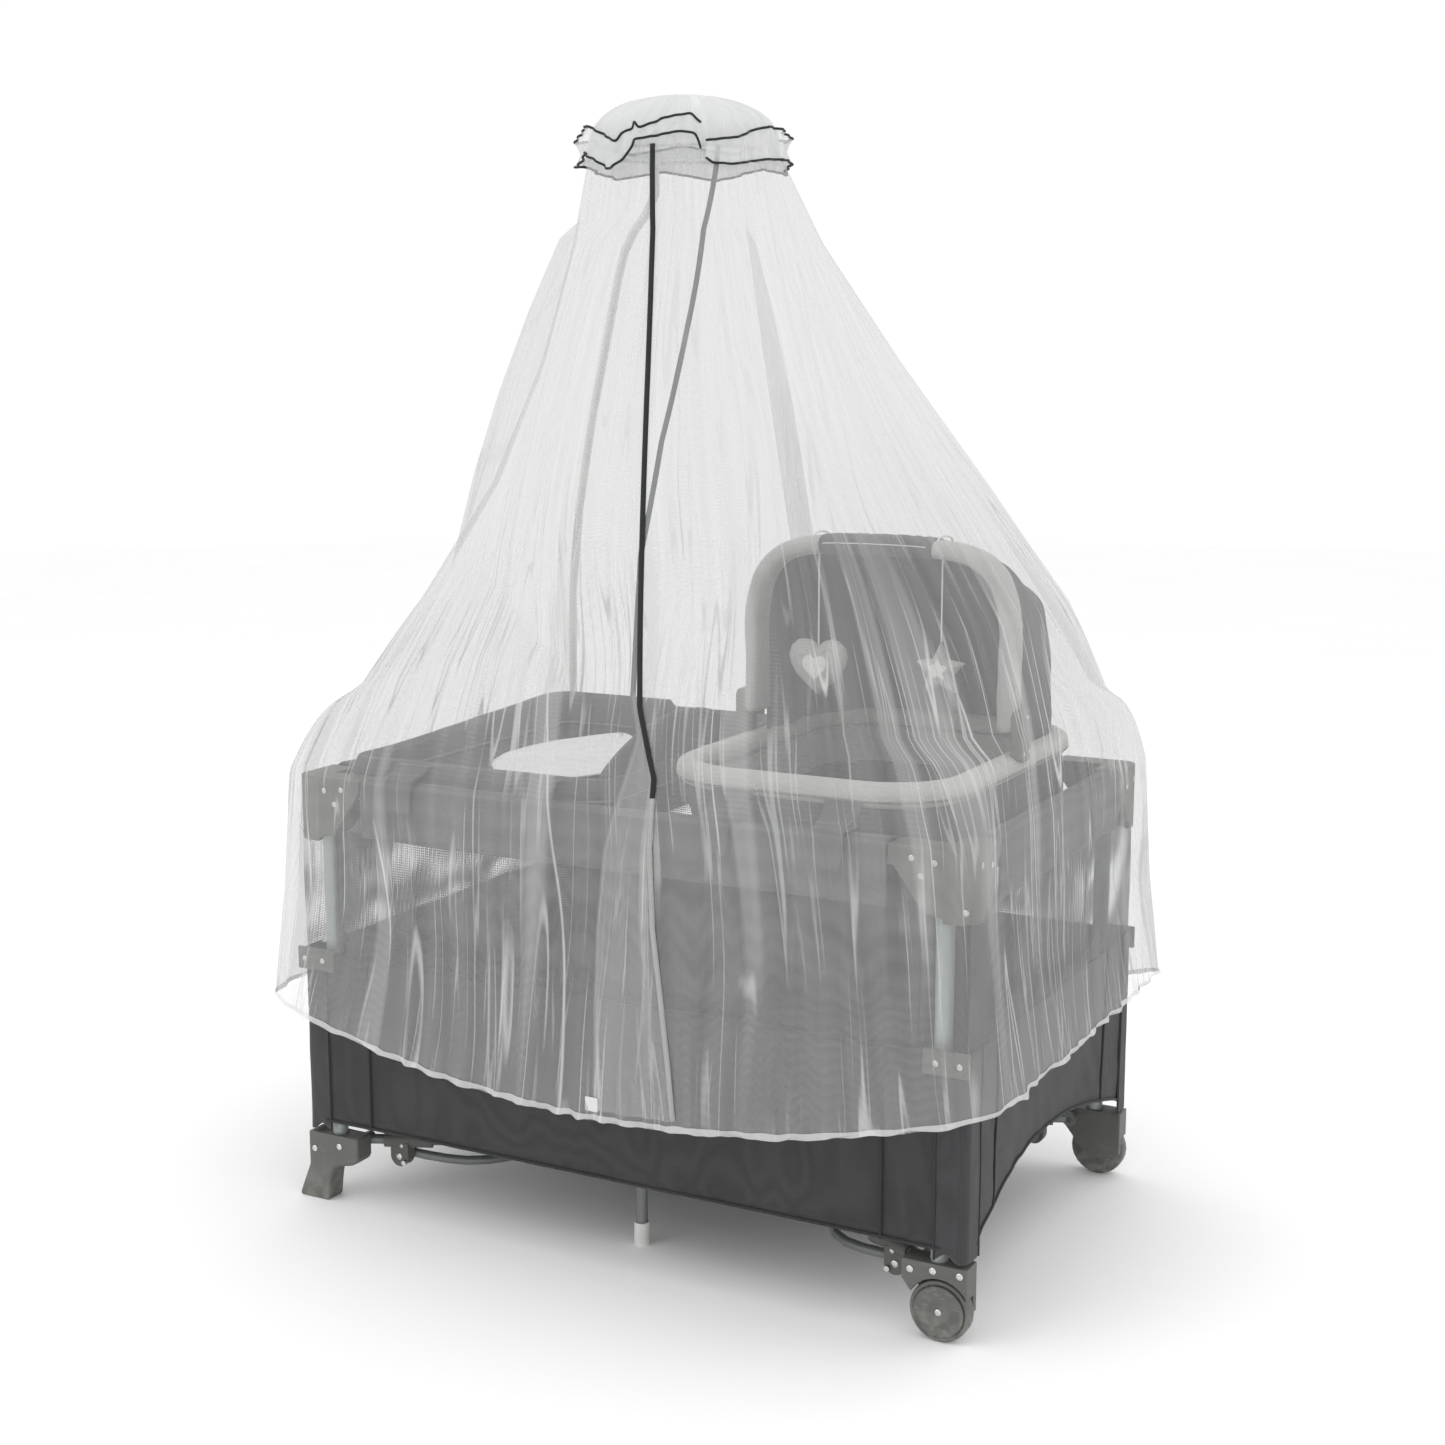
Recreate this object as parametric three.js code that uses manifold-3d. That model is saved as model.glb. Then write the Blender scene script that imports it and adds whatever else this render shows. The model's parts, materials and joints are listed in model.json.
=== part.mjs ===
// A folding travel cot with a bassinet, a changing tray, rocker bows and a net canopy on a pole.
// Millimetres, +Z up, +X to the right, the long open side towards -Y.
// The origin is on the floor, under the centre of the cot.
import * as THREE from "three";
import { mergeVertices } from "three/addons/utils/BufferGeometryUtils.js";
import Module from "manifold-3d";

const wasm = await Module();
wasm.setup();

// ---- Driving dimensions ------------------------------------------------------------------
const LENGTH = 1235; // outside the corner castings, along X
const WIDTH = 790; // outside the corner castings, along Y
const RAIL_TOP = 760; // top of the padded rail
const GAP = 0.3; // between touching pieces
const RUN = 0.4; // radial clearance round a pin

const POST = { r: 14, u: 53, v: 26, top: 734, foot: 102 }; // u, v: inwards from the corner
const RAIL = { r: 12.5, z: 735, v: 22, pivotU: 104, midX: 14, pinR: 4 };
const CASTING = { arm: 48, longWidth: 135, shortWidth: 105, height: 105, corner: 28, lip: 20 };
const LOWER = { top: 123, v: 4, depth: 40, width: 106 };
const WHEEL = { r: 48.5, width: 25, u: 45, v: 5, axleR: 5, clear: 3.5 };
const ARM = { r: 9, z: 106, bossR: 12, bossW: 22, pinR: 4.5 };
const HUB = { pivotX: 30, pivotY: 116, plate: 10, barZ: 138, barR: 10, legY: 290, bend: 26 };
const CAP = { r: 13, height: 40, floor: 6 };
const SLEEVE = { r: 14, from: 32, to: 117 };
const LUG = { u: 145, z: 78, width: 37, v: 71, depth: 20, r: 18.5 };
const BOW = { r: 8.5, bossR: 12.5, bossW: 18, sag: 182, droop: 12 };
const LOCK = { r: 4.5, length: 11, proud: 5, du: 12, dz: -9, travel: 4 };
const WALL = { t: 5.5, out: 3, bottom: 147, shoulder: 640, clear: 2.5 };
const MATTRESS = { z: 152, height: 35, postGap: 5 };
const LATCH = { x0: 28, x1: 66, half: 12.8, below: 20, above: 14, buttonR: 8, travel: 4 };

const NAPPER = { x: 292, halfX: 230, halfY: WIDTH / 2 - 73, corner: 120, rimZ: 812, tubeR: 8 };
const TUB = { bottom: 640, taper: 34, wall: 5, pad: 20, rimGap: 1.5 };
const HOOK = { width: 30, t: 9, reach: WIDTH / 2 - 11, under: 1 };
const HINGE = { t: 19, half: 22, height: 84, pivotZ: 865, pinR: 5 };
const HOOD = { r: 11, inset: 4, top: 1158, shoulder: 1040, bossR: 16, bossW: 24 };
const COVER = { t: 4, y0: 26, y1: 332, base: 828, drop: 6 };
const TOYS = {
  heartX: NAPPER.x - NAPPER.halfX + 118, starX: NAPPER.x + NAPPER.halfX - 122, heartDrop: 156, starDrop: 137, heart: 53, star: 46,
  stringR: 1.5, t: 24, notch: 3,
};

const CHANGER = { x0: 49.5 - LENGTH / 2, x1: -24, halfY: WIDTH / 2 - 45, corner: 60, z: 776, tubeR: 8 };
const TRAY = { bottom: 694, wall: 48, floor: 30, frameGap: 2 };
const WING = { t: 34, in: 4, y0: -312, y1: 170, top: 868 }; // the tray's raised side, next to the bassinet
const MAT = { x: -335, y: 40, halfX: 136, halfY: 235, t: 8 };

const POLE = { r: 8, x: 72.5 - LENGTH / 2, y: WIDTH / 2 - 14, socketR: 14, socketH: 30 };
const RING = { x: -75, r: 136, z: 1795, wire: 3 };
const NET = {
  t: 6, segments: 72, top: 1888, round: 157, hemCorner: 380, hemFront: 268,
  flareX: LENGTH / 2 + 44.5, flareY: WIDTH / 2 + 45,
};

// ---- Finishes ----------------------------------------------------------------------------
const finish = (color, roughness, metalness = 0, extra = {}) =>
  new THREE.MeshStandardMaterial({ color, roughness, metalness, ...extra });
const olivePlastic = finish(0x5d5e57, 0.55);
const darkPlastic = finish(0x3c3e3d, 0.5);
const paintedTube = finish(0xa9b5b1, 0.38, 0.35);
const bowTube = finish(0x7f8f92, 0.35, 0.4);
const charcoalCloth = finish(0x3a3a3a, 0.95);
const greyCloth = finish(0x5b5d5b, 0.95);
const paleCloth = finish(0xc5c6c0, 0.95);
const whiteCloth = finish(0xf2f2ee, 0.9);
const whitePlastic = finish(0xeeeeea, 0.4);
const brightSteel = finish(0xc9cbca, 0.3, 0.9);
const whiteNet = finish(0xffffff, 0.9, 0, { transparent: true, opacity: 0.3 });

// ---- Solids ------------------------------------------------------------------------------
function toSolid(geometry) {
  const bare = geometry.index ? geometry.toNonIndexed() : geometry.clone();
  bare.deleteAttribute("normal");
  bare.deleteAttribute("uv");
  const merged = mergeVertices(bare, 1e-3);
  return new wasm.Manifold(
    new wasm.Mesh({
      numProp: 3,
      vertProperties: merged.attributes.position.array,
      triVerts: new Uint32Array(merged.index.array),
    }),
  );
}

function toGeometry(solid) {
  const { vertProperties, triVerts, numProp, numVert } = solid.getMesh();
  const position = new Float32Array(numVert * 3);
  for (let i = 0; i < numVert; i++) {
    position.set(vertProperties.subarray(i * numProp, i * numProp + 3), i * 3);
  }
  const geometry = new THREE.BufferGeometry();
  geometry.setAttribute("position", new THREE.BufferAttribute(position, 3));
  geometry.setIndex(new THREE.BufferAttribute(triVerts, 1));
  geometry.computeVertexNormals();
  return geometry;
}

// Joins the first list of geometries and cuts the second list out of them.
function shaped(added, removed = []) {
  let body = toSolid(added[0]);
  for (const g of added.slice(1)) body = body.add(toSolid(g));
  for (const g of removed) body = body.subtract(toSolid(g));
  return toGeometry(body);
}

function box(x0, x1, y0, y1, z0, z1) {
  const g = new THREE.BoxGeometry(x1 - x0, y1 - y0, z1 - z0);
  return g.translate((x0 + x1) / 2, (y0 + y1) / 2, (z0 + z1) / 2);
}

const alongX = (r, x0, x1, y, z, sides = 16) =>
  new THREE.CylinderGeometry(r, r, x1 - x0, sides).rotateZ(Math.PI / 2).translate((x0 + x1) / 2, y, z);
const alongY = (r, y0, y1, x, z, sides = 16) =>
  new THREE.CylinderGeometry(r, r, y1 - y0, sides).translate(x, (y0 + y1) / 2, z);
const alongZ = (r, z0, z1, x, y, sides = 16) =>
  new THREE.CylinderGeometry(r, r, z1 - z0, sides).rotateX(Math.PI / 2).translate(x, y, (z0 + z1) / 2);

const outline = (points) => new THREE.Shape(points.map(([a, b]) => new THREE.Vector2(a, b)));
const extrude = (shape, depth, steps = 1) =>
  new THREE.ExtrudeGeometry(shape, { depth, steps, bevelEnabled: false, curveSegments: 5 });

// A plate whose outline is in X and Z, from y0 to y1.
const plateXZ = (shape, y0, y1) => extrude(shape, y1 - y0).rotateX(Math.PI / 2).translate(0, y1, 0);

// A plate whose outline is in Y and Z, from x0 to x1.
function plateYZ(shape, x0, x1) {
  const turn = new THREE.Matrix4().makeBasis(
    new THREE.Vector3(0, 1, 0),
    new THREE.Vector3(0, 0, 1),
    new THREE.Vector3(1, 0, 0),
  );
  return extrude(shape, x1 - x0).applyMatrix4(turn).translate(x0, 0, 0);
}

function circle(r, sides) {
  const points = [];
  for (let i = 0; i < sides; i++) {
    const a = (2 * Math.PI * i) / sides;
    points.push([r * Math.cos(a), r * Math.sin(a)]);
  }
  return outline(points);
}

// A round bar along a curve.
const sweep = (curve, r, steps, sides = 12) =>
  new THREE.ExtrudeGeometry(circle(r, sides), { steps, bevelEnabled: false, extrudePath: curve });
const vectors = (points) => points.map((p) => new THREE.Vector3(...p));
const smooth = (points, r, steps, sides) =>
  sweep(new THREE.CatmullRomCurve3(vectors(points), false, "centripetal"), r, steps, sides);
const straight = (a, b, r, sides) => sweep(new THREE.LineCurve3(...vectors([a, b])), r, 1, sides);

function roundedRect(x0, x1, y0, y1, r) {
  const s = new THREE.Shape();
  s.moveTo(x0 + r, y0).lineTo(x1 - r, y0);
  s.absarc(x1 - r, y0 + r, r, -Math.PI / 2, 0);
  s.lineTo(x1, y1 - r);
  s.absarc(x1 - r, y1 - r, r, 0, Math.PI / 2);
  s.lineTo(x0 + r, y1);
  s.absarc(x0 + r, y1 - r, r, Math.PI / 2, Math.PI);
  s.lineTo(x0, y0 + r);
  s.absarc(x0 + r, y0 + r, r, Math.PI, 1.5 * Math.PI);
  return s;
}

// A flat closed loop of bar with chamfered edges, its middle at height z.
function loopBar(x0, x1, y0, y1, corner, r, z) {
  const s = roundedRect(x0 - r / 2, x1 + r / 2, y0 - r / 2, y1 + r / 2, corner + r / 2);
  s.holes.push(roundedRect(x0 + r / 2, x1 - r / 2, y0 + r / 2, y1 - r / 2, corner - r / 2));
  const bevel = { bevelEnabled: true, bevelThickness: r / 2, bevelSize: r / 2, bevelSegments: 1 };
  const g = new THREE.ExtrudeGeometry(s, { depth: r, steps: 1, curveSegments: 4, ...bevel });
  return g.translate(0, 0, z - r / 2);
}

// Moves each vertex of a geometry by a rule.
function warp(geometry, rule) {
  const p = geometry.attributes.position;
  const v = new THREE.Vector3();
  for (let i = 0; i < p.count; i++) {
    rule(v.fromBufferAttribute(p, i));
    p.setXYZ(i, v.x, v.y, v.z);
  }
  return geometry;
}

const cot = new THREE.Group();
cot.name = "travel_cot";

function place(parent, name, geometry, material) {
  const mesh = new THREE.Mesh(geometry, material);
  mesh.name = name;
  parent.add(mesh);
}

// ---- Corner pieces, drawn with u inwards along X and v inwards along Y from a corner ------
const HALF_L = LENGTH / 2;
const HALF_W = WIDTH / 2;
const CORNERS = [
  { tag: "fl", sx: -1, sy: -1, side: "front", end: "left" },
  { tag: "fr", sx: 1, sy: -1, side: "front", end: "right" },
  { tag: "rl", sx: -1, sy: 1, side: "rear", end: "left" },
  { tag: "rr", sx: 1, sy: 1, side: "rear", end: "right" },
];

function upperCorner(holdsPole) {
  const { arm, longWidth, shortWidth, height, corner, lip } = CASTING;
  const low = RAIL_TOP - height;
  const postEdge = POST.u + POST.r + 13;
  const longSide = outline([
    [0, low - 6], [POST.u - 8, low], [postEdge, low + 8],
    [longWidth, RAIL_TOP - lip], [longWidth, RAIL_TOP], [0, RAIL_TOP],
  ]);
  const shortSide = outline([
    [0, low - 6], [arm + 10, low + 8], [shortWidth, RAIL_TOP - lip], [shortWidth, RAIL_TOP], [0, RAIL_TOP],
  ]);
  const plan = new THREE.Shape();
  plan.moveTo(corner, 0).lineTo(longWidth + 1, 0).lineTo(longWidth + 1, shortWidth + 1);
  plan.lineTo(0, shortWidth + 1).lineTo(0, corner);
  plan.absarc(corner, corner, corner, Math.PI, 1.5 * Math.PI);
  const keep = toSolid(extrude(plan, 2 * height).translate(0, 0, RAIL_TOP - 1.5 * height));
  const slot = RAIL.r + 0.8;
  const slotTop = RAIL.z + slot + 0.2;
  let body = toSolid(plateXZ(longSide, 0, arm)).add(toSolid(plateYZ(shortSide, 0, arm)));
  body = body.intersect(keep);
  const slotStart = RAIL.pivotU - RAIL.r - 2.5;
  for (const cutter of [
    box(slotStart, longWidth + 2, RAIL.v - slot, RAIL.v + slot, low - 20, slotTop),
    box(RAIL.v - slot, RAIL.v + slot, arm + 4 - GAP, shortWidth + 2, low - 20, slotTop),
    alongZ(POST.r + GAP, low - 20, POST.top + GAP, POST.u, POST.v),
  ]) {
    body = body.subtract(toSolid(cutter));
  }
  body = body.add(toSolid(alongY(RAIL.pinR, RAIL.v - slot - 1, RAIL.v + slot + 1, RAIL.pivotU, RAIL.z, 10)));
  if (holdsPole) {
    const [u, v] = [HALF_L + POLE.x, HALF_W - POLE.y];
    body = body.add(toSolid(alongZ(POLE.socketR, RAIL_TOP - 5, RAIL_TOP + POLE.socketH, u, v)));
    body = body.subtract(toSolid(alongZ(POLE.r + 1, RAIL_TOP + 2, RAIL_TOP + POLE.socketH + 5, u, v, 10)));
  }
  return toGeometry(body);
}

// The pin that a lower arm turns on stands out of the inner face of the lower casting.
const ARM_PIVOT_U = HALF_L - HUB.pivotX - (HALF_L - RAIL.pivotU - RAIL.midX);
const ARM_V = LOWER.v + LOWER.depth + GAP + ARM.bossW / 2;
const lowerPin = () =>
  alongY(ARM.pinR, LOWER.v + LOWER.depth - 2, ARM_V + ARM.bossW / 2, ARM_PIVOT_U, ARM.z, 10);
const postSocket = () => alongZ(POST.r + GAP, POST.foot - GAP, LOWER.top + 10, POST.u, POST.v);

function foot() {
  const { top, v, depth, width } = LOWER;
  const side = new THREE.Shape();
  side.moveTo(0, top).lineTo(0, 62).lineTo(-22, 8);
  side.quadraticCurveTo(-24, 0, -18, 0);
  side.lineTo(34, 0);
  side.quadraticCurveTo(40, 0, 40, 6);
  side.lineTo(45, 44);
  side.quadraticCurveTo(49, 66, 72, 69);
  side.quadraticCurveTo(width - 4, 72, width, 86);
  side.lineTo(width, top);
  return shaped([plateXZ(side, v, v + depth), lowerPin()], [postSocket()]);
}

function wheelHousing() {
  const { top, v, depth, width } = LOWER;
  const reach = WHEEL.r + WHEEL.clear;
  const side = new THREE.Shape();
  side.moveTo(0, top).lineTo(0, 46).lineTo(WHEEL.u - 17, WHEEL.r - 14);
  side.lineTo(WHEEL.u + 15, WHEEL.r - 14).lineTo(width, 92).lineTo(width, top);
  const arch = alongY(reach, v - 5, WHEEL.v + WHEEL.width + 2, WHEEL.u, WHEEL.r, 28);
  const axle = alongY(WHEEL.axleR, WHEEL.v - 2, v + depth - 2, WHEEL.u, WHEEL.r, 10);
  const shell = toSolid(plateXZ(side, v, v + depth)).subtract(toSolid(arch));
  const held = shell.add(toSolid(axle)).add(toSolid(lowerPin()));
  return toGeometry(held.subtract(toSolid(postSocket())));
}

function wheel() {
  const { r, width, u, v, axleR } = WHEEL;
  const hub = 17;
  const profile = [
    [axleR + RUN, 0], [hub, 0], [hub + 3, 2.5], [r - 8, 2.5], [r - 4, 0], [r - 1.5, 1], [r, 4],
    [r, width - 4], [r - 1.5, width - 1], [r - 4, width], [axleR + RUN, width], [axleR + RUN, 0],
  ].map(([a, b]) => new THREE.Vector2(a, b));
  return new THREE.LatheGeometry(profile, 28).translate(u, v, r);
}

// From the pivot in the casting to the pivot in the hub, along the middle of the arm.
const armStart = [ARM_PIVOT_U, ARM_V, ARM.z];
const armEnd = [HALF_L - HUB.pivotX, HALF_W - HUB.pivotY, ARM.z];
const armLine = new THREE.Vector3(...armEnd).sub(new THREE.Vector3(...armStart));
const alongArm = (s) => new THREE.Vector3(...armStart).addScaledVector(armLine.clone().normalize(), s);

function lowerArm() {
  const boss = ([u, v, z]) => alongY(ARM.bossR, v - ARM.bossW / 2, v + ARM.bossW / 2, u, z);
  const bore = ([u, v, z]) => alongY(ARM.pinR + RUN, v - ARM.bossW, v + ARM.bossW, u, z, 10);
  return shaped(
    [straight(armStart, armEnd, ARM.r, 10), boss(armStart), boss(armEnd)],
    [bore(armStart), bore(armEnd)],
  );
}

function bowBracket() {
  const { u, z, width, v, depth, r } = LUG;
  const [a, b] = [alongArm(SLEEVE.from).toArray(), alongArm(SLEEVE.to).toArray()];
  const lug = new THREE.Shape();
  lug.moveTo(u - width / 2, ARM.z - 2).lineTo(u - width / 2, z);
  lug.absarc(u, z, r, Math.PI, 2 * Math.PI);
  lug.lineTo(u + width / 2, ARM.z - 2);
  const bore = straight(alongArm(0).toArray(), alongArm(SLEEVE.to + 20).toArray(), ARM.r + GAP, 10);
  const well = alongY(LOCK.r + RUN, v - 5, v + LOCK.length + 1, u + LOCK.du, z + LOCK.dz, 10);
  const pin = alongY(ARM.pinR, v + depth - 3, v + depth + GAP + BOW.bossW, u, z, 10);
  return shaped([straight(a, b, SLEEVE.r, 10), plateXZ(lug, v, v + depth), pin], [bore, well]);
}

const lockButton = () =>
  alongY(LOCK.r, LUG.v - LOCK.proud, LUG.v - LOCK.proud + LOCK.length, LUG.u + LOCK.du, LUG.z + LOCK.dz, 10);

function halfRail(hasLatch) {
  const inner = HALF_L - RAIL.midX;
  const added = [
    straight([RAIL.pivotU, RAIL.v, RAIL.z], [inner, RAIL.v, RAIL.z], RAIL.r, 10),
    alongY(RAIL.r, RAIL.v - RAIL.r, RAIL.v + RAIL.r, RAIL.pivotU, RAIL.z),
    alongY(RAIL.r, RAIL.v - RAIL.r, RAIL.v + RAIL.r, inner, RAIL.z),
  ];
  const removed = [
    alongY(RAIL.pinR + RUN, RAIL.v - 2 * RAIL.r, RAIL.v + 2 * RAIL.r, RAIL.pivotU, RAIL.z, 10),
  ];
  if (hasLatch) {
    const [u0, u1, b] = [HALF_L - LATCH.x1, HALF_L - LATCH.x0, LATCH.half];
    added.push(box(u0, u1, RAIL.v - b, RAIL.v + b, RAIL.z - LATCH.below, RAIL.z + LATCH.above));
    removed.push(latchCylinder(LATCH.buttonR + RUN, -LATCH.below - 1, -LATCH.below + 9));
  }
  return shaped(added, removed);
}

const latchCylinder = (r, dz0, dz1) =>
  alongZ(r, RAIL.z + dz0, RAIL.z + dz1, HALF_L - (LATCH.x0 + LATCH.x1) / 2, RAIL.v, 10);
const latchButton = () => latchCylinder(LATCH.buttonR, -LATCH.below - 5, -LATCH.below + 4);

for (const { tag, sx, sy, side, end } of CORNERS) {
  const corner = new THREE.Group();
  corner.position.set(sx * HALF_L, sy * HALF_W, 0);
  corner.scale.set(-sx, -sy, 1);
  cot.add(corner);
  const post = alongZ(POST.r, POST.foot, POST.top, POST.u, POST.v);
  place(corner, `corner_post_${tag}`, post, paintedTube);
  place(corner, `upper_corner_${tag}`, upperCorner(tag === "rl"), olivePlastic);
  if (end === "left") {
    place(corner, `foot_${tag}`, foot(), olivePlastic);
  } else {
    place(corner, `wheel_housing_${tag}`, wheelHousing(), olivePlastic);
    place(corner, `wheel_${tag}`, wheel(), olivePlastic);
  }
  place(corner, `rail_${side}_${end}`, halfRail(end === "left"), paintedTube);
  if (end === "left") place(corner, `rail_latch_button_${side}`, latchButton(), darkPlastic);
  place(corner, `lower_arm_${tag}`, lowerArm(), bowTube);
  place(corner, `bow_bracket_${tag}`, bowBracket(), olivePlastic);
  place(corner, `bow_lock_button_${tag}`, lockButton(), brightSteel);
}

// ---- End rails, hub and rocker bows --------------------------------------------------------
const endRailHalf = HALF_W - CASTING.arm - 4;
for (const [end, sx] of [["left", -1], ["right", 1]]) {
  const rail = alongY(RAIL.r, -endRailHalf, endRailHalf, sx * (HALF_L - RAIL.v), RAIL.z, 10);
  place(cot, `rail_${end}`, rail, paintedTube);
}

function hubBar() {
  const { pivotX, pivotY, plate, barZ, barR, legY, bend } = HUB;
  const legEnd = CAP.floor + GAP;
  const path = new THREE.CurvePath();
  const at = (y, z) => new THREE.Vector3(0, y, z);
  path.add(new THREE.LineCurve3(at(-legY, legEnd), at(-legY, barZ - bend)));
  path.add(new THREE.QuadraticBezierCurve3(at(-legY, barZ - bend), at(-legY, barZ), at(bend - legY, barZ)));
  path.add(new THREE.LineCurve3(at(bend - legY, barZ), at(legY - bend, barZ)));
  path.add(new THREE.QuadraticBezierCurve3(at(legY - bend, barZ), at(legY, barZ), at(legY, barZ - bend)));
  path.add(new THREE.LineCurve3(at(legY, barZ - bend), at(legY, legEnd)));
  const added = [sweep(path, barR, 24, 10)];
  const face = pivotY - ARM.bossW / 2 - GAP;
  const half = pivotX + ARM.bossR + 4;
  for (const sy of [-1, 1]) {
    const [y0, y1] = [sy * face, sy * (face - plate)].sort((a, b) => a - b);
    added.push(plateXZ(roundedRect(-half, half, ARM.z - 15, barZ + 6, 8), y0, y1));
    for (const sx of [-1, 1]) {
      const [p0, p1] = [sy * (face - 2), sy * (face + ARM.bossW)].sort((a, b) => a - b);
      added.push(alongY(ARM.pinR, p0, p1, sx * pivotX, ARM.z, 10));
    }
  }
  return shaped(added);
}
place(cot, "hub_bar", hubBar(), paintedTube);
for (const [side, sy] of [["front", -1], ["rear", 1]]) {
  const y = sy * HUB.legY;
  const cup = shaped(
    [alongZ(CAP.r, 0, CAP.height, 0, y)],
    [alongZ(HUB.barR + GAP, CAP.floor, CAP.height + 5, 0, y)],
  );
  place(cot, `centre_foot_${side}`, cup, whitePlastic);
}

function rockerBow(sx) {
  const x = (u) => sx * (HALF_L - u);
  const y = HALF_W - LUG.v - LUG.depth - GAP - Math.max(BOW.bossW / 2, BOW.r + 0.5);
  const half = [
    [x(LUG.u), y, LUG.z],
    [x(LUG.u + 45), y - 3, LUG.z - 2],
    [x(LUG.u + 115), y - 28, LUG.z - 0.55 * BOW.droop],
    [x(LUG.u + 165), y - 100, LUG.z - 0.85 * BOW.droop],
  ];
  const middle = [[x(LUG.u + BOW.sag), 0, LUG.z - BOW.droop]];
  const other = half.map(([a, b, c]) => [a, -b, c]).reverse();
  const ends = [-1, 1].map((s) => [s * y - BOW.bossW / 2, s * y + BOW.bossW / 2]);
  return shaped(
    [smooth([...half, ...middle, ...other], BOW.r, 22, 10), ...ends.map(([a, b]) => bowEnd(BOW.bossR, a, b, x))],
    ends.map(([a, b]) => bowEnd(ARM.pinR + RUN, a - 5, b + 5, x)),
  );
}
const bowEnd = (r, y0, y1, x) => alongY(r, y0, y1, x(LUG.u), LUG.z, 10);
place(cot, "rocker_bow_left", rockerBow(-1), bowTube);
place(cot, "rocker_bow_right", rockerBow(1), bowTube);

// ---- Cloth walls and mattress ----------------------------------------------------------------
// A wall is full width up to the shoulder, and between the castings up to the rail's top.
function wallOutline(half, neck) {
  const top = RAIL_TOP - 4;
  return outline([
    [-half, WALL.bottom], [half, WALL.bottom], [half, WALL.shoulder], [neck, WALL.shoulder],
    [neck, top], [-neck, top], [-neck, WALL.shoulder], [-half, WALL.shoulder],
  ]);
}
const longHalf = HALF_L - 8;
const shortHalf = HALF_W - WALL.out - WALL.t - WALL.clear;
const longNeck = HALF_L - CASTING.longWidth - 3;
const shortNeck = HALF_W - CASTING.shortWidth - 3;
const wallY = [-HALF_W + WALL.out, -HALF_W + WALL.out + WALL.t];
const wallX = [HALF_L - WALL.out - WALL.t, HALF_L - WALL.out];
place(cot, "wall_front", plateXZ(wallOutline(longHalf, longNeck), ...wallY), charcoalCloth);
place(cot, "wall_rear", plateXZ(wallOutline(longHalf, longNeck), -wallY[1], -wallY[0]), charcoalCloth);
place(cot, "wall_left", plateYZ(wallOutline(shortHalf, shortNeck), -wallX[1], -wallX[0]), charcoalCloth);
place(cot, "wall_right", plateYZ(wallOutline(shortHalf, shortNeck), ...wallX), charcoalCloth);

const bedX = HALF_L - POST.u - POST.r - MATTRESS.postGap;
const bedY = HALF_W - POST.v - POST.r - MATTRESS.postGap;
place(
  cot,
  "mattress",
  extrude(roundedRect(-bedX, bedX, -bedY, bedY, 40), MATTRESS.height).translate(0, 0, MATTRESS.z),
  greyCloth,
);

// ---- Bassinet on the right half ----------------------------------------------------------------
function hooks(x0, x1, innerY, top) {
  const low = RAIL_TOP + HOOK.under;
  const made = [];
  for (const x of [x0, x1]) {
    for (const s of [-1, 1]) {
      const arm = [s * (innerY - 4), s * HOOK.reach].sort((a, b) => a - b);
      const riser = [s * (innerY - 4), s * (innerY + 4)].sort((a, b) => a - b);
      made.push(box(x - HOOK.width / 2, x + HOOK.width / 2, ...arm, low, low + HOOK.t));
      made.push(box(x - HOOK.width / 2, x + HOOK.width / 2, ...riser, low, top));
    }
  }
  return made;
}

function napperFrame() {
  const { x, halfX, halfY, corner, rimZ, tubeR } = NAPPER;
  const rim = loopBar(x - halfX, x + halfX, -halfY, halfY, corner, tubeR, rimZ);
  return shaped([rim, ...hooks(x - 95, x + 95, halfY, rimZ)]);
}
place(cot, "napper_frame", napperFrame(), paintedTube);

// A tapered block with rounded corners, from z0 to z1, that narrows downwards.
function taperedBlock(x, halfX, halfY, corner, z0, z1, taper) {
  const g = extrude(roundedRect(-halfX, halfX, -halfY, halfY, corner), z1 - z0, 2).translate(0, 0, z0);
  return warp(g, (p) => {
    const inset = taper * (1 - (p.z - z0) / (z1 - z0)) ** 1.4;
    p.x = x + p.x * (1 - inset / halfX);
    p.y *= 1 - inset / halfY;
  });
}

function napperTub() {
  const shrink = NAPPER.tubeR + TUB.rimGap;
  const [hx, hy] = [NAPPER.halfX - shrink, NAPPER.halfY - shrink];
  const top = NAPPER.rimZ - 2;
  const outer = taperedBlock(NAPPER.x, hx, hy, NAPPER.corner - shrink, TUB.bottom, top, TUB.taper);
  const inner = taperedBlock(
    NAPPER.x, hx - TUB.wall, hy - TUB.wall, NAPPER.corner - shrink - TUB.wall,
    TUB.bottom + TUB.pad, top + 5, TUB.taper,
  );
  return shaped([outer], [inner]);
}
place(cot, "napper_tub", napperTub(), greyCloth);

const hoodX = NAPPER.halfX - HOOD.inset; // from the middle of the bassinet to the middle of the bow
for (const [end, s] of [["left", -1], ["right", 1]]) {
  const face = NAPPER.x + s * (hoodX + HOOD.bossW / 2 + GAP);
  const [x0, x1] = [face, face + s * HINGE.t].sort((a, b) => a - b);
  const [p0, p1] = [face + s * 2, face - s * (HOOD.bossW + GAP)].sort((a, b) => a - b);
  const z0 = NAPPER.rimZ + NAPPER.tubeR + GAP;
  const block = plateYZ(roundedRect(-HINGE.half, HINGE.half, z0, z0 + HINGE.height, 12), x0, x1);
  const pin = alongX(HINGE.pinR, p0, p1, 0, HINGE.pivotZ, 10);
  place(cot, `hood_hinge_${end}`, shaped([block, pin]), darkPlastic);
}

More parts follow.
